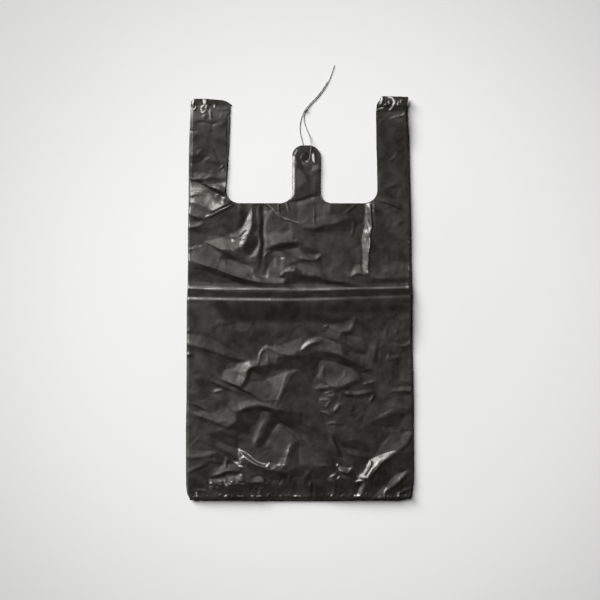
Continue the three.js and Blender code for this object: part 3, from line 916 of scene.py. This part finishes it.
    (0.2, "226.6,477 234,475.4 232.6,482 228,485"),
    (0.27, "252,479 258,475.4 264,478.6 264,482 256,481.4"),
    (0.3, "238.3,473.3 243.8,473.3 242.6,480.5 238.6,480.5"),
    (0.24, "233.6,462 237.5,460 242,460.5 240.5,466 237,465"),
    (-0.03, "240,450.5 248,455.5 255,462 262,465 269,465.5 265,466.5 256,464.5 249,460 243,454.5"),
    # Bottom
    (0.1, "250,480 263,482 264,490 262,497 255,497 257,488"),
    (-0.01, "186,488 208,487 214,490 206,496 186,496"),
    (0.2, "196,488.5 206,489 206,491 196,490.5"),
    (-0.02, "270,484 330,486 330,498 268,498"),
    (0.11, "300,436 310,444 320,455 332,465 320,466 312,464 298,464"),
    (-0.08, "300,423 315,428 322,436 318,440 308,436 300,431"),
    (-0.08, "300,466 316,467 332,466 336,470 326,478 304,480"),
    (0.08, "322,411 328,411 330,416 336,421 334,440 328,432"),
    (0.16, "332,412 337,405 343,402 338,410"),
    # Lower right
    (-0.14, "330,434 333,434 343,457 339,458"),
    (0.12, "342,446.5 355,450 364,455 368,459.5 360,456 350,455"),
    (-0.1, "342,442 355,439 368,446 371,452 360,450 350,447"),
    (0.04, "373,418.5 382,413 392,408.5 396,411 384,417.5"),
    (-0.13, "372,420 385,418 398,412.5 406,413 400,425 385,428 371,425"),
    (0.1, "391,429.5 400,430 413,431.5 408,440 400,448 395,451 386,455 378,460 371,461 380,448 388,437"),
    (-0.05, "368,480 378,467 385,461 398,453 412,452 412,468 396,474 385,486 372,486"),
    (0.06, "364,483 372,486 382,488 373,497 361,497"),
    (0.23, "357,478 361,471 366,464 370,459.5 378,455.6 386,453 396.5,450.6 390,456 384,460.5 378,467 "
           "373,472.6 368,478 362,478.6"),
    (0.31, "357.4,477.4 362,471 367,464.5 372,460 379,457.4 378,462.4 374,467 369,474.5 364,477.6"),
    (0.5, "354.6,482 357,479 363,479.4 364.6,482 360,480.8"),
    (0.55, "357,496 358.6,489 361,483.4 364.4,481.4 364.6,485 362.6,491 360,496"),
    (0.2, "372,497 382,487 391,479 399,472.5 408,469.5 403,478 395,485 386,492 379,498"),
    (-0.06, "391,489 410,480 414,486 398,491.5"),
    (0.4, "336.4,465 339,465.6 345,467.6 352.4,467 347.6,472.6 341,471 338,469.6"),
    (0.3, "327.6,481 330,474.6 335.8,472.4 335.6,474.6 331.8,477 329.8,481.6"),
    (0.12, "341,476 346,474.4 350.4,478 350,483 346,478 342,478"),
    (-0.12, "333,476 338,474 336,479"),
]

# The bands of the crease from packing, which runs across the bag, as facets with straight edges.
PACKING_CREASE = [
    (0.05, "176,282 241,283.4 291,284.4 341,284 424,282 424,286 341,288 176,287"),
    (0.2, "176,285.6 241,287 291,287.6 341,287.4 381,287 424,285.8 424,287.8 381,289.2 341,289.8 291,290.2 "
          "241,289.6 176,288.2"),
    (-0.1, "176,288.2 241,289.6 291,290.2 341,289.8 381,289.2 424,287.8 424,295 381,296 341,297.2 291,298.2 "
           "241,297.8 176,297"),
    (0.2, "176,297 241,297.9 291,298.4 341,297.4 381,296.2 424,294.8 424,296.8 381,298.2 341,299.6 291,300.8 "
          "241,300.4 176,299.4"),
    (0.1, "345,297.3 381,296.2 424,294.8 424,296.8 381,298.2 345,299.4"),
    (-0.04, "176,299.4 241,300.4 291,300.8 341,299.6 381,298.2 424,296.8 424,303 381,303 341,304 291,305 "
            "241,305 176,303"),
]

# Where the film as a whole turns a little more to the window or from it, as facets with soft edges. These
# and the glints turn the mesh's normals only.
SOFT_PANES = [
    (-0.08, "190,96 232,96 232,111 190,111"),
    (0.16, "186,185 200,185 206,189 200,193 186,193"),
    (-0.04, "184,247 208,247 206,266 184,266"),
    (0.05, "216,259 234,263 262,273 286,280 284,283 262,282 240,276 216,268"),
    (0.06, "184,291 212,293 212,297 184,296"),
    (-0.06, "302,146 314,146 317,154 302,155"),
    (-0.03, "184,104 232,104 230,176 184,176"),
    (-0.05, "372,104 414,104 416,200 374,200"),
    (-0.02, "180,306 210,306 216,322 180,330"),
    (-0.13, "212,304 416,304 396,318 340,324 300,321 225,322"),
    (-0.04, "226,332 292,330 282,338 262,342 244,350 226,344"),
    (-0.05, "320,312 395,312 380,330 362,332 356,318 340,320"),
]

# Thin folds that glint: how much they add to the slope towards the window, then their photo pixels.
GLINTS = [
    # Packing crease
    (0.1, "188,286.8 205,287.4 241,289 291,289 341,288.5 381,287.8 411,286.8"),
    (0.12, "188,287.8 241,290.4 291,290.6 330,289.8"),
    (0.1, "205,289.4 241,291.8 291,291.8"),
    (0.13, "188,298.2 241,299.2 270,299.4"),
    (0.06, "270,299.4 300,299.5 330,298.8"),
    # Left handle
    (0.42, "193.8,100.2 192.6,103.4 191.8,107"),
    (0.36, "203.6,100 204.2,103.6"),
    (0.3, "205.8,100.4 205.6,103.2"),
    (0.33, "206.4,104.6 205.8,106"),
    (0.3, "201.4,107 203.6,105.6"),
    (0.33, "202.4,112.4 204.8,111.4"),
    (0.25, "201,109 202,111"),
    (0.25, "206.4,108 205.4,109.6"),
    (0.25, "214.6,105.4 214.4,107.2"),
    (0.18, "196.4,106.8 195,108"),
    (0.14, "210.6,110.6 211.4,114.6 211.4,120"),
    (0.21, "222.4,171 223.6,169.4"),
    (0.14, "225.8,138.6 226.4,139.6"),
    # Right handle
    (0.42, "388.7,97.3 391.6,98.2 393.6,101.4 393.6,104 392,107 389.5,110"),
    (0.33, "376.4,110.2 379,108.8 383.2,107.8"),
    (0.38, "381.4,97 381.6,99.4 380.2,101.4"),
    (0.25, "378.2,104.8 380.6,103.4"),
    (0.21, "383.4,105 386,104.8"),
    (0.25, "388.4,101.6 388.6,104"),
    (0.21, "397.6,102 397.4,105.4"),
    (0.25, "400.8,100.8 400.2,102.6"),
    (0.14, "390,118 396,117 402,115.2"),
    (0.33, "402,115.2 405.8,113.2"),
    (0.1, "389.5,160.4 394.8,156.3 396.5,152.2"),
    (0.08, "378.2,174 378.2,185.6"),
    # Tab
    (0.42, "293.3,157 293.3,190 292.6,195 290.2,199"),
    (0.21, "296.8,150.2 294.6,154.4"),
    (0.22, "313,154.6 312.8,158.4 314.6,162.4"),
    (0.25, "301.2,158 302.2,155.4 303.8,154"),
    (0.14, "302.6,161 302.8,164.4"),
    (0.1, "311.6,199.4 314,198.4"),
    # Bright band
    (0.2, "367.8,203 368,214 367.6,222 369,226 368,234"),
    (0.2, "369.2,238 368.6,252"),
    # Right edge
    (0.21, "408.5,241.2 408.6,242.6"),
    (0.21, "410.4,260 410.4,261.6"),
    (0.14, "408.6,266.4 408.6,270"),
    (0.21, "409.2,279.4 409.2,281"),
    (0.21, "410.8,286 411.2,287.6"),
    # Upper half
    (0.21, "232.4,239.4 232.6,241.4"),
    (0.18, "232.2,249.8 233.2,250.2"),
    (0.21, "247.6,231.8 244,234.6 241.4,238.4"),
    (0.21, "246,236.8 243,239 241,243"),
    (-0.3, "240,236.4 243,233.6 246,230.6"),
    (-0.3, "240.4,240.2 243,237 245.4,235"),
    (0.13, "266,203.4 272,208.6 279,215.4 286.8,219.4 297.6,222.4"),
    (0.14, "278.6,212 278.8,213.6"),
    (0.1, "287,203.6 288.6,212"),
    (0.25, "206,216.2 212,213.6 218.2,210.8 226,207.4 232.7,203.8"),
    (0.18, "192.6,249.4 196,248.4 200.6,245.8"),
    (0.18, "280.6,258.4 283.4,258.2"),
    (0.14, "294.4,240.8 296,240"),
    (0.18, "367.6,271 367.8,272.6"),
    # Crescents
    (0.24, "239,449.2 244.4,452.2 250.4,455.8 255.2,460 261.2,463 267,464.2"),
    (0.2, "240.2,451.2 242,454 246.8,458.2 252.8,462.4 258.8,465 266,466.2"),
    (0.18, "238.8,450 238.8,457"),
    (0.7, "239.6,459.2 243.2,456.4"),
    (0.18, "234,461.4 237.6,463"),
    (0.5, "239,466 242.2,466"),
    (0.5, "266.6,466 269.2,463"),
    (0.25, "240,483.6 243.6,483.2"),
    (0.12, "210.4,478.6 210.8,482.6"),
    (0.13, "210.6,482.4 209.8,486.4 212,489.4"),
    (0.13, "222.6,477.4 224.8,482.4 228.4,487.2"),
    (0.1, "229.6,484 234,483.4 238.4,482.8"),
    (-0.2, "216,484.6 220.6,485.6 223.6,484"),
    (0.21, "227.2,475.6 228.6,474.6"),
    (0.21, "266,482.6 267,483.2"),
    (0.18, "279.6,484 281.6,482"),
    (0.18, "278.4,464.8 284,464.2"),
    # Lower right
    (0.42, "336.6,465.4 337.8,464"),
    (0.33, "337.8,478 339.2,476"),
    (0.1, "333.6,482 332.4,490 331,495"),
    (0.18, "356.8,476.2 363.4,473.9"),
    (0.18, "358.8,477.8 364.6,476"),
    (0.18, "364.6,471.9 367,466.4 369.4,461.1"),
    (0.18, "366.6,477.8 370.6,469.5 376,464.7 378.6,458"),
    (0.14, "369.4,461.1 376.6,456.9 386.1,453.3 394.5,450.9"),
    (-0.35, "372,461.6 371.6,465.4 368.4,471 365.6,474.6"),
    (-0.3, "374.6,466 371.6,472 369,476"),
    (-0.2, "365.6,467 362,472.4"),
    (0.3, "383.8,495 384,491.6 386,487.6"),
    (0.18, "397.6,493 399.6,491.6"),
    (0.21, "376.6,500 379.4,495.6"),
    (0.18, "371.4,500 372.6,497"),
    (0.18, "355,482 357.4,479.6 361,479.4"),
    (0.42, "357.4,495.6 359,494.8"),
    (0.33, "354.4,495.4 355.6,494"),
    # Bottom weld
    (-0.15, "189,497.8 411,497.8"),
    (-0.15, "190,499.2 410,499.2"),
    (0.32, "196.4,491.6 197.2,495.8"),
    (0.45, "225.2,495.8 226.6,494.8"),
    (0.21, "238,495.4 243,495.4"),
    (0.27, "251.8,495.4 252.8,495.4"),
    (0.27, "259.6,495.4 260.6,495.4"),
    (0.21, "279.8,495.6 281,495.2"),
    (0.27, "294,495.4 296,495.4"),
    (0.21, "298,495.6 300,495.6"),
    (0.27, "330.6,495.6 331.6,494.6"),
    (0.27, "397,495.4 399,495.2"),
]

# Short creases strewn over boxes between two photo pixels: how many, their lengths, heights and widths in
# millimetres, the way that they run in degrees and how far that varies.
STREWN = [
    # The panels: upper half, lower half and right side
    (170, (188, 203), (412, 284), (5, 20), (0.04, 0.14), (1.5, 4.5), 60, 70),
    (330, (188, 322), (412, 490), (5, 20), (0.04, 0.2), (1.5, 4.5), 35, 80),
    (60, (372, 205), (412, 480), (5, 18), (0.04, 0.15), (1.5, 4), 20, 80),
    # The handles, then their welds
    (45, (190, 108), (229, 200), (5, 18), (0.06, 0.3), (1.2, 3.5), 20, 80),
    (24, (377, 108), (409, 200), (5, 18), (0.05, 0.2), (1.5, 4), -30, 70),
    (16, (191, 102), (209, 111), (1.8, 5), (0.3, 0.8), (0.8, 1.4), 60, 80),
    (10, (378, 99), (402, 108), (1.8, 5), (0.3, 0.7), (0.8, 1.4), 60, 80),
    # Above the bottom weld, on it and at its left end
    (44, (200, 476), (413, 495), (8, 18), (0.15, 0.45), (1.4, 3), 82, 25),
    (60, (187, 493), (413, 497), (1.5, 4), (0.4, 1.1), (0.8, 1.3), 80, 70),
    (16, (206, 477), (246, 487), (3, 8), (0.2, 0.7), (0.9, 1.8), 60, 70),
]


def shape_front():
    """The front panel's wrinkles, the cover that lies under them all, and the turns of its normals."""
    relief = Relief()
    for height, seed, spacing in SWELLS:
        relief.z += height * relief.lattice(seed, spacing)
    straight = relief.x, relief.y
    relief.waver(WAVER_SEED, WAVER_SPACING, WAVER)
    wavering = relief.x, relief.y
    for slope, corners in PANES:
        relief.pane(slope, corners)
    crumples = sum(share * relief.lattice(*kind) for share, *kind in CRUMPLES)
    relief.tilt += CRUMPLE * np.maximum(relief.tilt - CRUMPLE_FROM, 0) * crumples
    relief.tilt += BILLOW * np.maximum(relief.tilt, 0) * relief.lattice(BILLOW_SEED, BILLOW_SPACING)
    relief.x, relief.y = straight
    for slope, corners in PACKING_CREASE:
        relief.pane(slope, corners)
    relief.x, relief.y = wavering
    relief.raise_tilts()
    for height, left, right, line in CREASES:
        relief.crease(RELIEF * height, left, right, rounded_line(line))
    for seed, strewn in enumerate(STREWN):
        relief.scatter(seed, *strewn)
    relief.soften()
    relief.low_cover = Relief()
    relief.low_cover.z = low_envelope(relief.z, LOW_REACH)
    relief.turns = Relief()
    for slope, corners in SOFT_PANES:
        relief.turns.pane(slope, corners, SOFT_EDGE)
    relief.turns.z += relief.turns.tilt
    for slope, line in GLINTS:
        relief.turns.stroke(slope, rounded_line(line))
    return relief


def half_width(y):
    lean = HANDLE_LEAN * smooth(y, CREASE_Y, TOP)
    pull = CORNER_PULL * (1 - smooth(y, -TOP, -TOP + CORNER_REACH))
    return EDGE - lean - pull


def on_tab(x, y):
    """How much a place belongs to the tab, from 0 to 1."""
    across = 1 - smooth(np.abs(x - TAB_SHIFT), *(TAB_WIDTH / 2 + reach for reach in TAB_SHOULDER))
    return across * smooth(y, NOTCH_FLOOR, HOLE_Y - HOLE_DIAMETER)


# How the film's real edges stray from the tube's. The sides' tables pair photo rows with photo pixels to
# the right, and those of the top and bottom pair photo columns with photo pixels inwards.
LEFT_STRAY = pairs("98,0 120,-0.8 148,-1.4 176,-0.9 204,-0.2 232,0 260,0.7 288,0.6 302,-0.2 400,-0.5 "
                   "428,-1.1 484,-0.9 492,0 498,0.9")
RIGHT_STRAY = pairs("98,-1 102,-1.6 106,-3.2 120,-3.5 134,-2.2 148,-1.3 204,-1.7 232,-2.1 260,-2.5 286,-2.2 "
                    "291,-2 302,-2.6 330,-2.4 344,-1.6 400,-0.4 428,-0.2 470,-0.2 484,-1.1 494,-2.5 498,-1.8")
TOP_SAG = pairs("190,6.5 191.5,4.5 194.5,2.2 207,2.4 222,3.6 226,4.6 230,7 231.5,8.5 376,7.5 379.6,6.8 "
                "380.6,-0.4 400,0.4 408,0.9")
BOTTOM_SAG = pairs("186,1.5 190,0.6 196,1.5 250,1.4 270,0.5 320,0.4 345,1.4 378,1.8 398,1.4 404,2.8 413,3.9")
SIDE_REACH = 40.0  # how far in from its side the film strays
END_REACH = 10.0  # and from its top and bottom

# The handles' inner sides stray too. Each span has the places across the bag, in millimetres, where that
# starts, is full, starts to fade and ends.
LEFT_INNER_STRAY = pairs("104,0 107,-0.8 148,-0.8 162,-1.6 176,-2.1 190,-3 197,-1.5 204,0")
RIGHT_INNER_STRAY = pairs("104,0 113,-0.9 130,-0.5 148,-0.2 162,0.5 190,1.1 204,0")
LEFT_INNER_SPAN = (-110, -84, -70, -60)
RIGHT_INNER_SPAN = (60, 74, 88, 110)

# Over such spans the left handle's front panel falls short of the panels below it, which lie flatter.
FRONT_INSET = 3.6
INSET_SPAN = (-106, -84, -70, -60)
INSET_ROWS = (112.6, 114.2, 138, 166)  # photo rows
INSET_PRESS = 0.45

# How far the right and bottom edges have risen, in millimetres at photo rows and columns.
RIGHT_LIFT = pairs("98,6 128,5 150,1.2 190,1.2 215,2 280,1.7 298,4.6 326,4 350,1 455,1 475,2 498,4")
BOTTOM_LIFT = pairs("186,3 200,5 255,5 270,2.4 320,2.4 345,5.2 414,5.2")
LIFT_REACH = 28.0  # how far in from the edge


def look_up(table, place):
    """A value between a table's entries."""
    return np.interp(place, *zip(*table))


def lift(row, column, u, v):
    """How far the film's right and lower edges have risen off the floor, in millimetres."""
    right = look_up(RIGHT_LIFT, row) * smooth(u, EDGE - LIFT_REACH, EDGE)
    bottom = look_up(BOTTOM_LIFT, column) * smooth(-v, TOP - LIFT_REACH, TOP)
    return np.maximum(right, bottom)


def pressed(y):
    """How far the film is held flat by a weld, and past the weld out to the film's end."""
    from_bottom = y - (-TOP + BOTTOM_SKIRT + WELD)
    from_top = TOP - HANDLE_SKIRT - WELD - y
    return 1 - smooth(np.minimum(from_bottom, from_top), 0, WELD_FADE)


def rounded_box(x, y, low, high, radius):
    """Distance outside a rectangle with rounded corners, negative inside it."""
    middle = [(a + b) / 2 for a, b in zip(low, high)]
    half = [(b - a) / 2 for a, b in zip(low, high)]
    dx = np.abs(x - middle[0]) - half[0] + radius
    dy = np.abs(y - middle[1]) - half[1] + radius
    outside = np.hypot(np.maximum(dx, 0), np.maximum(dy, 0))
    return outside + np.minimum(np.maximum(dx, dy), 0) - radius


def kept(x, y):
    """Distance from the die cut, positive on the film that is kept."""
    far = TOP + NOTCH_OVERSHOOT
    rise = np.clip((y - NOTCH_FLOOR) / HANDLE_LENGTH, 0, HANDLE_LEAN_END)
    left_base = -half_width(NOTCH_FLOOR) + LEFT_HANDLE_BASE
    left_lean = (-half_width(TOP) + LEFT_HANDLE_TOP - left_base) * rise
    right_base = half_width(NOTCH_FLOOR) - RIGHT_HANDLE_BASE
    right_lean = (half_width(TOP) - RIGHT_HANDLE_TOP - right_base) * rise
    tab_left, tab_right = TAB_SHIFT - TAB_WIDTH / 2, TAB_SHIFT + TAB_WIDTH / 2
    shifted_left = np.where(x < (left_base + tab_left) / 2, x - left_lean, x)
    left_notch = rounded_box(shifted_left, y, (left_base, NOTCH_FLOOR), (tab_left, far), NOTCH_RADIUS)
    shifted_right = np.where(x > (right_base + tab_right) / 2, x - right_lean, x)
    right_notch = rounded_box(shifted_right, y, (tab_right, NOTCH_FLOOR), (right_base, far), NOTCH_RADIUS)
    tab = rounded_box(x, y, (tab_left, NOTCH_FLOOR - TAB_ROOT), (tab_right, TAB_TOP), TAB_RADIUS)
    above = np.maximum(np.abs(x - TAB_SHIFT) - TAB_WIDTH / 2 - TAB_CUT_REACH, TAB_TOP - TAB_RADIUS - y)
    over_tab = np.maximum(above, -tab)
    hole = np.hypot(x - TAB_SHIFT, y - HOLE_Y) - HOLE_DIAMETER / 2
    return np.minimum.reduce([left_notch, right_notch, over_tab, hole])


def tube_columns():
    """Columns round the flattened tube: places across the bag and layers, from the back to the front."""
    outer, inner = EDGE - FOLD_RADIUS, EDGE - GUSSET_DEPTH + FOLD_RADIUS
    turn = np.linspace(0, math.pi, FOLD_SIDES + 1)[1:-1]

    def run(start, end, step, layer):
        count = max(2, round(abs(end - start) / step) + 1)
        return [(x, layer) for x in np.linspace(start, end, count)]

    def fold(start, bulge, layer):
        return [(start + bulge * math.sin(angle), layer + (1 - math.cos(angle)) / 2) for angle in turn]

    gusset = [
        *fold(outer, FOLD_RADIUS, 0), *run(outer, inner, HIDDEN_STEP, 1),
        *fold(inner, -FOLD_RADIUS, 1), *run(inner, outer, HIDDEN_STEP, 2), *fold(outer, FOLD_RADIUS, 2),
    ]
    mirrored = [(-x, layer) for x, layer in reversed(gusset)]
    back, front = run(-outer, outer, HIDDEN_STEP, 0), run(outer, -outer, FRONT_STEP, FRONT_LAYER)
    return [*back, *gusset, *front, *mirrored]


def clip_ring(x, y, layer, keep):
    """Keeps the part of a closed ring of columns where keep is positive, with crisp edges where it is 0."""
    rows, columns = keep.shape
    points = np.stack([x.ravel(), y.ravel(), layer.ravel()], axis=1).tolist()
    values = keep.ravel()
    inside = values > 0
    faces, cuts = [], {}

    def cut(a, b):
        key = (min(a, b), max(a, b))
        if key not in cuts:
            t = values[key[0]] / (values[key[0]] - values[key[1]])
            cuts[key] = len(points)
            points.append([mix(p, q, t) for p, q in zip(points[key[0]], points[key[1]])])
        return cuts[key]

    for j in range(rows - 1):
        for i in range(columns):
            k = (i + 1) % columns
            corners = (j * columns + i, (j + 1) * columns + i, (j + 1) * columns + k, j * columns + k)
            flags = [inside[c] for c in corners]
            if all(flags):
                faces.append(corners)
            elif any(flags):
                face = []
                for a, b in zip(corners, corners[1:] + corners[:1]):
                    if inside[a]:
                        face.append(a)
                    if inside[a] != inside[b]:
                        face.append(cut(a, b))
                faces.append(tuple(face))
    used = sorted({c for face in faces for c in face})
    renumber = {old: new for new, old in enumerate(used)}
    return np.array([points[c] for c in used]), [tuple(renumber[c] for c in face) for face in faces]


def wave(t, seed, lengths):
    """A small irregular wave along a line."""
    draw = np.random.RandomState(seed)
    total = np.zeros_like(t)
    for length in lengths:
        total += draw.uniform(0.5, 1.0) * np.sin(2 * math.pi * (t / length + draw.uniform()))
    return total / len(lengths)


def low_envelope(z, reach):
    """The lowest height within reach cells."""
    low = z.copy()
    for _ in range(reach):
        low[:, 1:-1] = np.minimum(np.minimum(low[:, :-2], low[:, 2:]), low[:, 1:-1])
        low[1:-1] = np.minimum(np.minimum(low[:-2], low[2:]), low[1:-1])
    return low


def layer_heights(front, x, y):
    """Heights of the four layers at places on the bag, from the back panel to the front one."""
    tab = on_tab(x, y)
    flat = pressed(y)
    stack = mix(mix(STACK, WELDED_STACK, flat), TAB_STACK, tab)
    from_edge = np.maximum(x + half_width(y), 0)
    dip = mix(BODY_DIP, 1.0, smooth(y, NOTCH_FLOOR - BODY_DIP_FADE, NOTCH_FLOOR + BODY_DIP_FADE))
    stack = stack * (1 - EDGE_DIP * dip * (1 - smooth(from_edge, 0, EDGE_DIP_REACH)))
    waves = wave(x + BACK_WAVE_SLANT * y, BACK_WAVE_SEED, BACK_WAVE_LENGTHS)
    back = REST_HEIGHT + TAB_LIFT * tab + BACK_WAVE * (1 + waves) * (1 - flat)
    top, low = (
        np.maximum(cover.sample(x, y) * (1 - WELD_GRIP * flat), -DEEPEST * stack) + stack
        for cover in (front, front.low_cover)
    )
    slope = ((x - TAB_SHIFT) * AWAY[0] + (y - HOLE_Y) * AWAY[1]) * HOLE_TILT
    behind_hole = 1 - smooth(np.hypot(x - TAB_SHIFT, y - HOLE_Y), HOLE_DIAMETER / 2, HOLE_DIAMETER)
    return back - slope * behind_hole, *(back + share * low for share in GUSSET_HEIGHTS), back + top


def front_normals(front, points, places):
    """Upward normals of the front panel, taken closer than its mesh can, and zero for the film elsewhere."""
    x, y = places[:, 0] / MM, places[:, 1] / MM
    reach = CELL / 2
    rise_x = (layer_heights(front, x + reach, y)[-1] - layer_heights(front, x - reach, y)[-1]) / CELL
    rise_y = (layer_heights(front, x, y + reach)[-1] - layer_heights(front, x, y - reach)[-1]) / CELL
    turn = front.turns.sample(x, y)
    normals = np.stack([-rise_x - turn * AWAY[0], -rise_y - turn * AWAY[1], np.ones_like(x)], axis=1)
    normals /= np.linalg.norm(normals, axis=1)[:, None]
    u, _, layer = points.T
    normals[(layer < FRONT_LAYER) | (np.abs(u) > EDGE - FOLD_RADIUS - FRONT_STEP)] = 0
    return normals


def place_film(front, points):
    """Moves points from the flattened, cut tube to where the film lies."""
    u, v, layer = points.T
    x = u * half_width(v) / EDGE
    row, column = BAG_MIDDLE[1] - v / PIXEL, BAG_MIDDLE[0] + x / PIXEL
    short = between(u, *INSET_SPAN) * between(row, *INSET_ROWS)
    outer_stray = np.where(u < 0, look_up(LEFT_STRAY, row), look_up(RIGHT_STRAY, row))
    x = x + PIXEL * outer_stray * smooth(np.abs(u), EDGE - SIDE_REACH, EDGE)
    x = x + PIXEL * look_up(LEFT_INNER_STRAY, row) * between(u, *LEFT_INNER_SPAN)
    x = x + PIXEL * look_up(RIGHT_INNER_STRAY, row) * between(u, *RIGHT_INNER_SPAN)
    x = x - FRONT_INSET * short * (layer > FRONT_LAYER_START)
    y = v - BACK_SLIP * on_tab(u, v) * (layer < BACK_LAYER_END)
    y = y - PIXEL * look_up(TOP_SAG, column) * smooth(v, TOP - END_REACH, TOP)
    y = y + PIXEL * look_up(BOTTOM_SAG, column) * (1 - smooth(v, -TOP, -TOP + END_REACH))
    heights = np.stack(layer_heights(front, x, y))
    whole = np.clip(np.floor(layer).astype(int), 0, FRONT_LAYER - 1)
    index = np.arange(len(layer))
    z = mix(heights[whole, index], heights[whole + 1, index], layer - whole)
    z = z - INSET_PRESS * short * z / STACK * (layer < FRONT_LAYER_START) + lift(row, column, u, v)
    return np.stack([x, y, z], axis=1) * MM


def make_film():
    front = shape_front()
    columns = np.array(tube_columns())
    inner = TOP - WELD_ROWS_REACH
    rows = np.concatenate([
        np.arange(-TOP, -inner, WELD_ROW_STEP), np.arange(-inner, inner, ROW_STEP),
        np.linspace(inner, TOP, round(WELD_ROWS_REACH / WELD_ROW_STEP)),
    ])
    u, v = np.meshgrid(columns[:, 0], rows)
    layer = np.broadcast_to(columns[:, 1], u.shape)
    points, faces = clip_ring(u, v, layer, kept(u * half_width(v) / EDGE, v))
    places = place_film(front, points)
    film = make_object("film_bag", places.tolist(), faces, FILM)
    film.data.normals_split_custom_set_from_vertices(front_normals(front, points, places).tolist())
    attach(film, "root")
    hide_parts("bag_film")


make_film()

# Floor and lights

FLOOR_HALF = 1.5
WINDOW_SIZE = 3.7
WINDOW_POWER = 335
LOW_WINDOW = (-5.2, 4.7, 3.3)
LOW_WINDOW_SIZE = 3.4
LOW_WINDOW_POWER = 640
WINDOW_SIDE = (-0.74, 0.67, 0)
ROOM_LEVELS = (0.08, 0.35)
ROOM_SPAN = (-0.2, 0.9)


def make_floor():
    corners = [(x * FLOOR_HALF, y * FLOOR_HALF, 0) for x, y in ((-1, -1), (1, -1), (1, 1), (-1, 1))]
    floor = make_object("floor", corners, [(0, 1, 2, 3)], floor_material())


def make_lamp(name, place, size, power):
    data = bpy.data.lights.new(name, "AREA")
    data.shape = "DISK"
    data.size = size
    data.energy = power
    lamp = bpy.data.objects.new(name, data)
    lamp.location = place
    lamp.rotation_euler = Vector(place).to_track_quat("Z", "Y").to_euler()
    bpy.context.scene.collection.objects.link(lamp)


def make_world():
    """A room that is brighter towards the window's side and darker overhead and opposite."""
    world = bpy.data.worlds.new("studio")
    world.use_nodes = True
    tree = world.node_tree
    view = add_node(tree, "TexCoord", {})
    inputs = {0: view.outputs["Generated"], 1: WINDOW_SIDE}
    facing = add_node(tree, "VectorMath", inputs, operation="DOT_PRODUCT")
    level = to_range(tree, facing.outputs["Value"], *ROOM_LEVELS, *ROOM_SPAN)
    set_inputs(tree, tree.nodes["Background"], {"Strength": level})
    bpy.context.scene.world = world


make_floor()
make_lamp("window", WINDOW, WINDOW_SIZE, WINDOW_POWER)
make_lamp("low_window", LOW_WINDOW, LOW_WINDOW_SIZE, LOW_WINDOW_POWER)
make_world()
bpy.context.scene.view_settings.view_transform = "Standard"
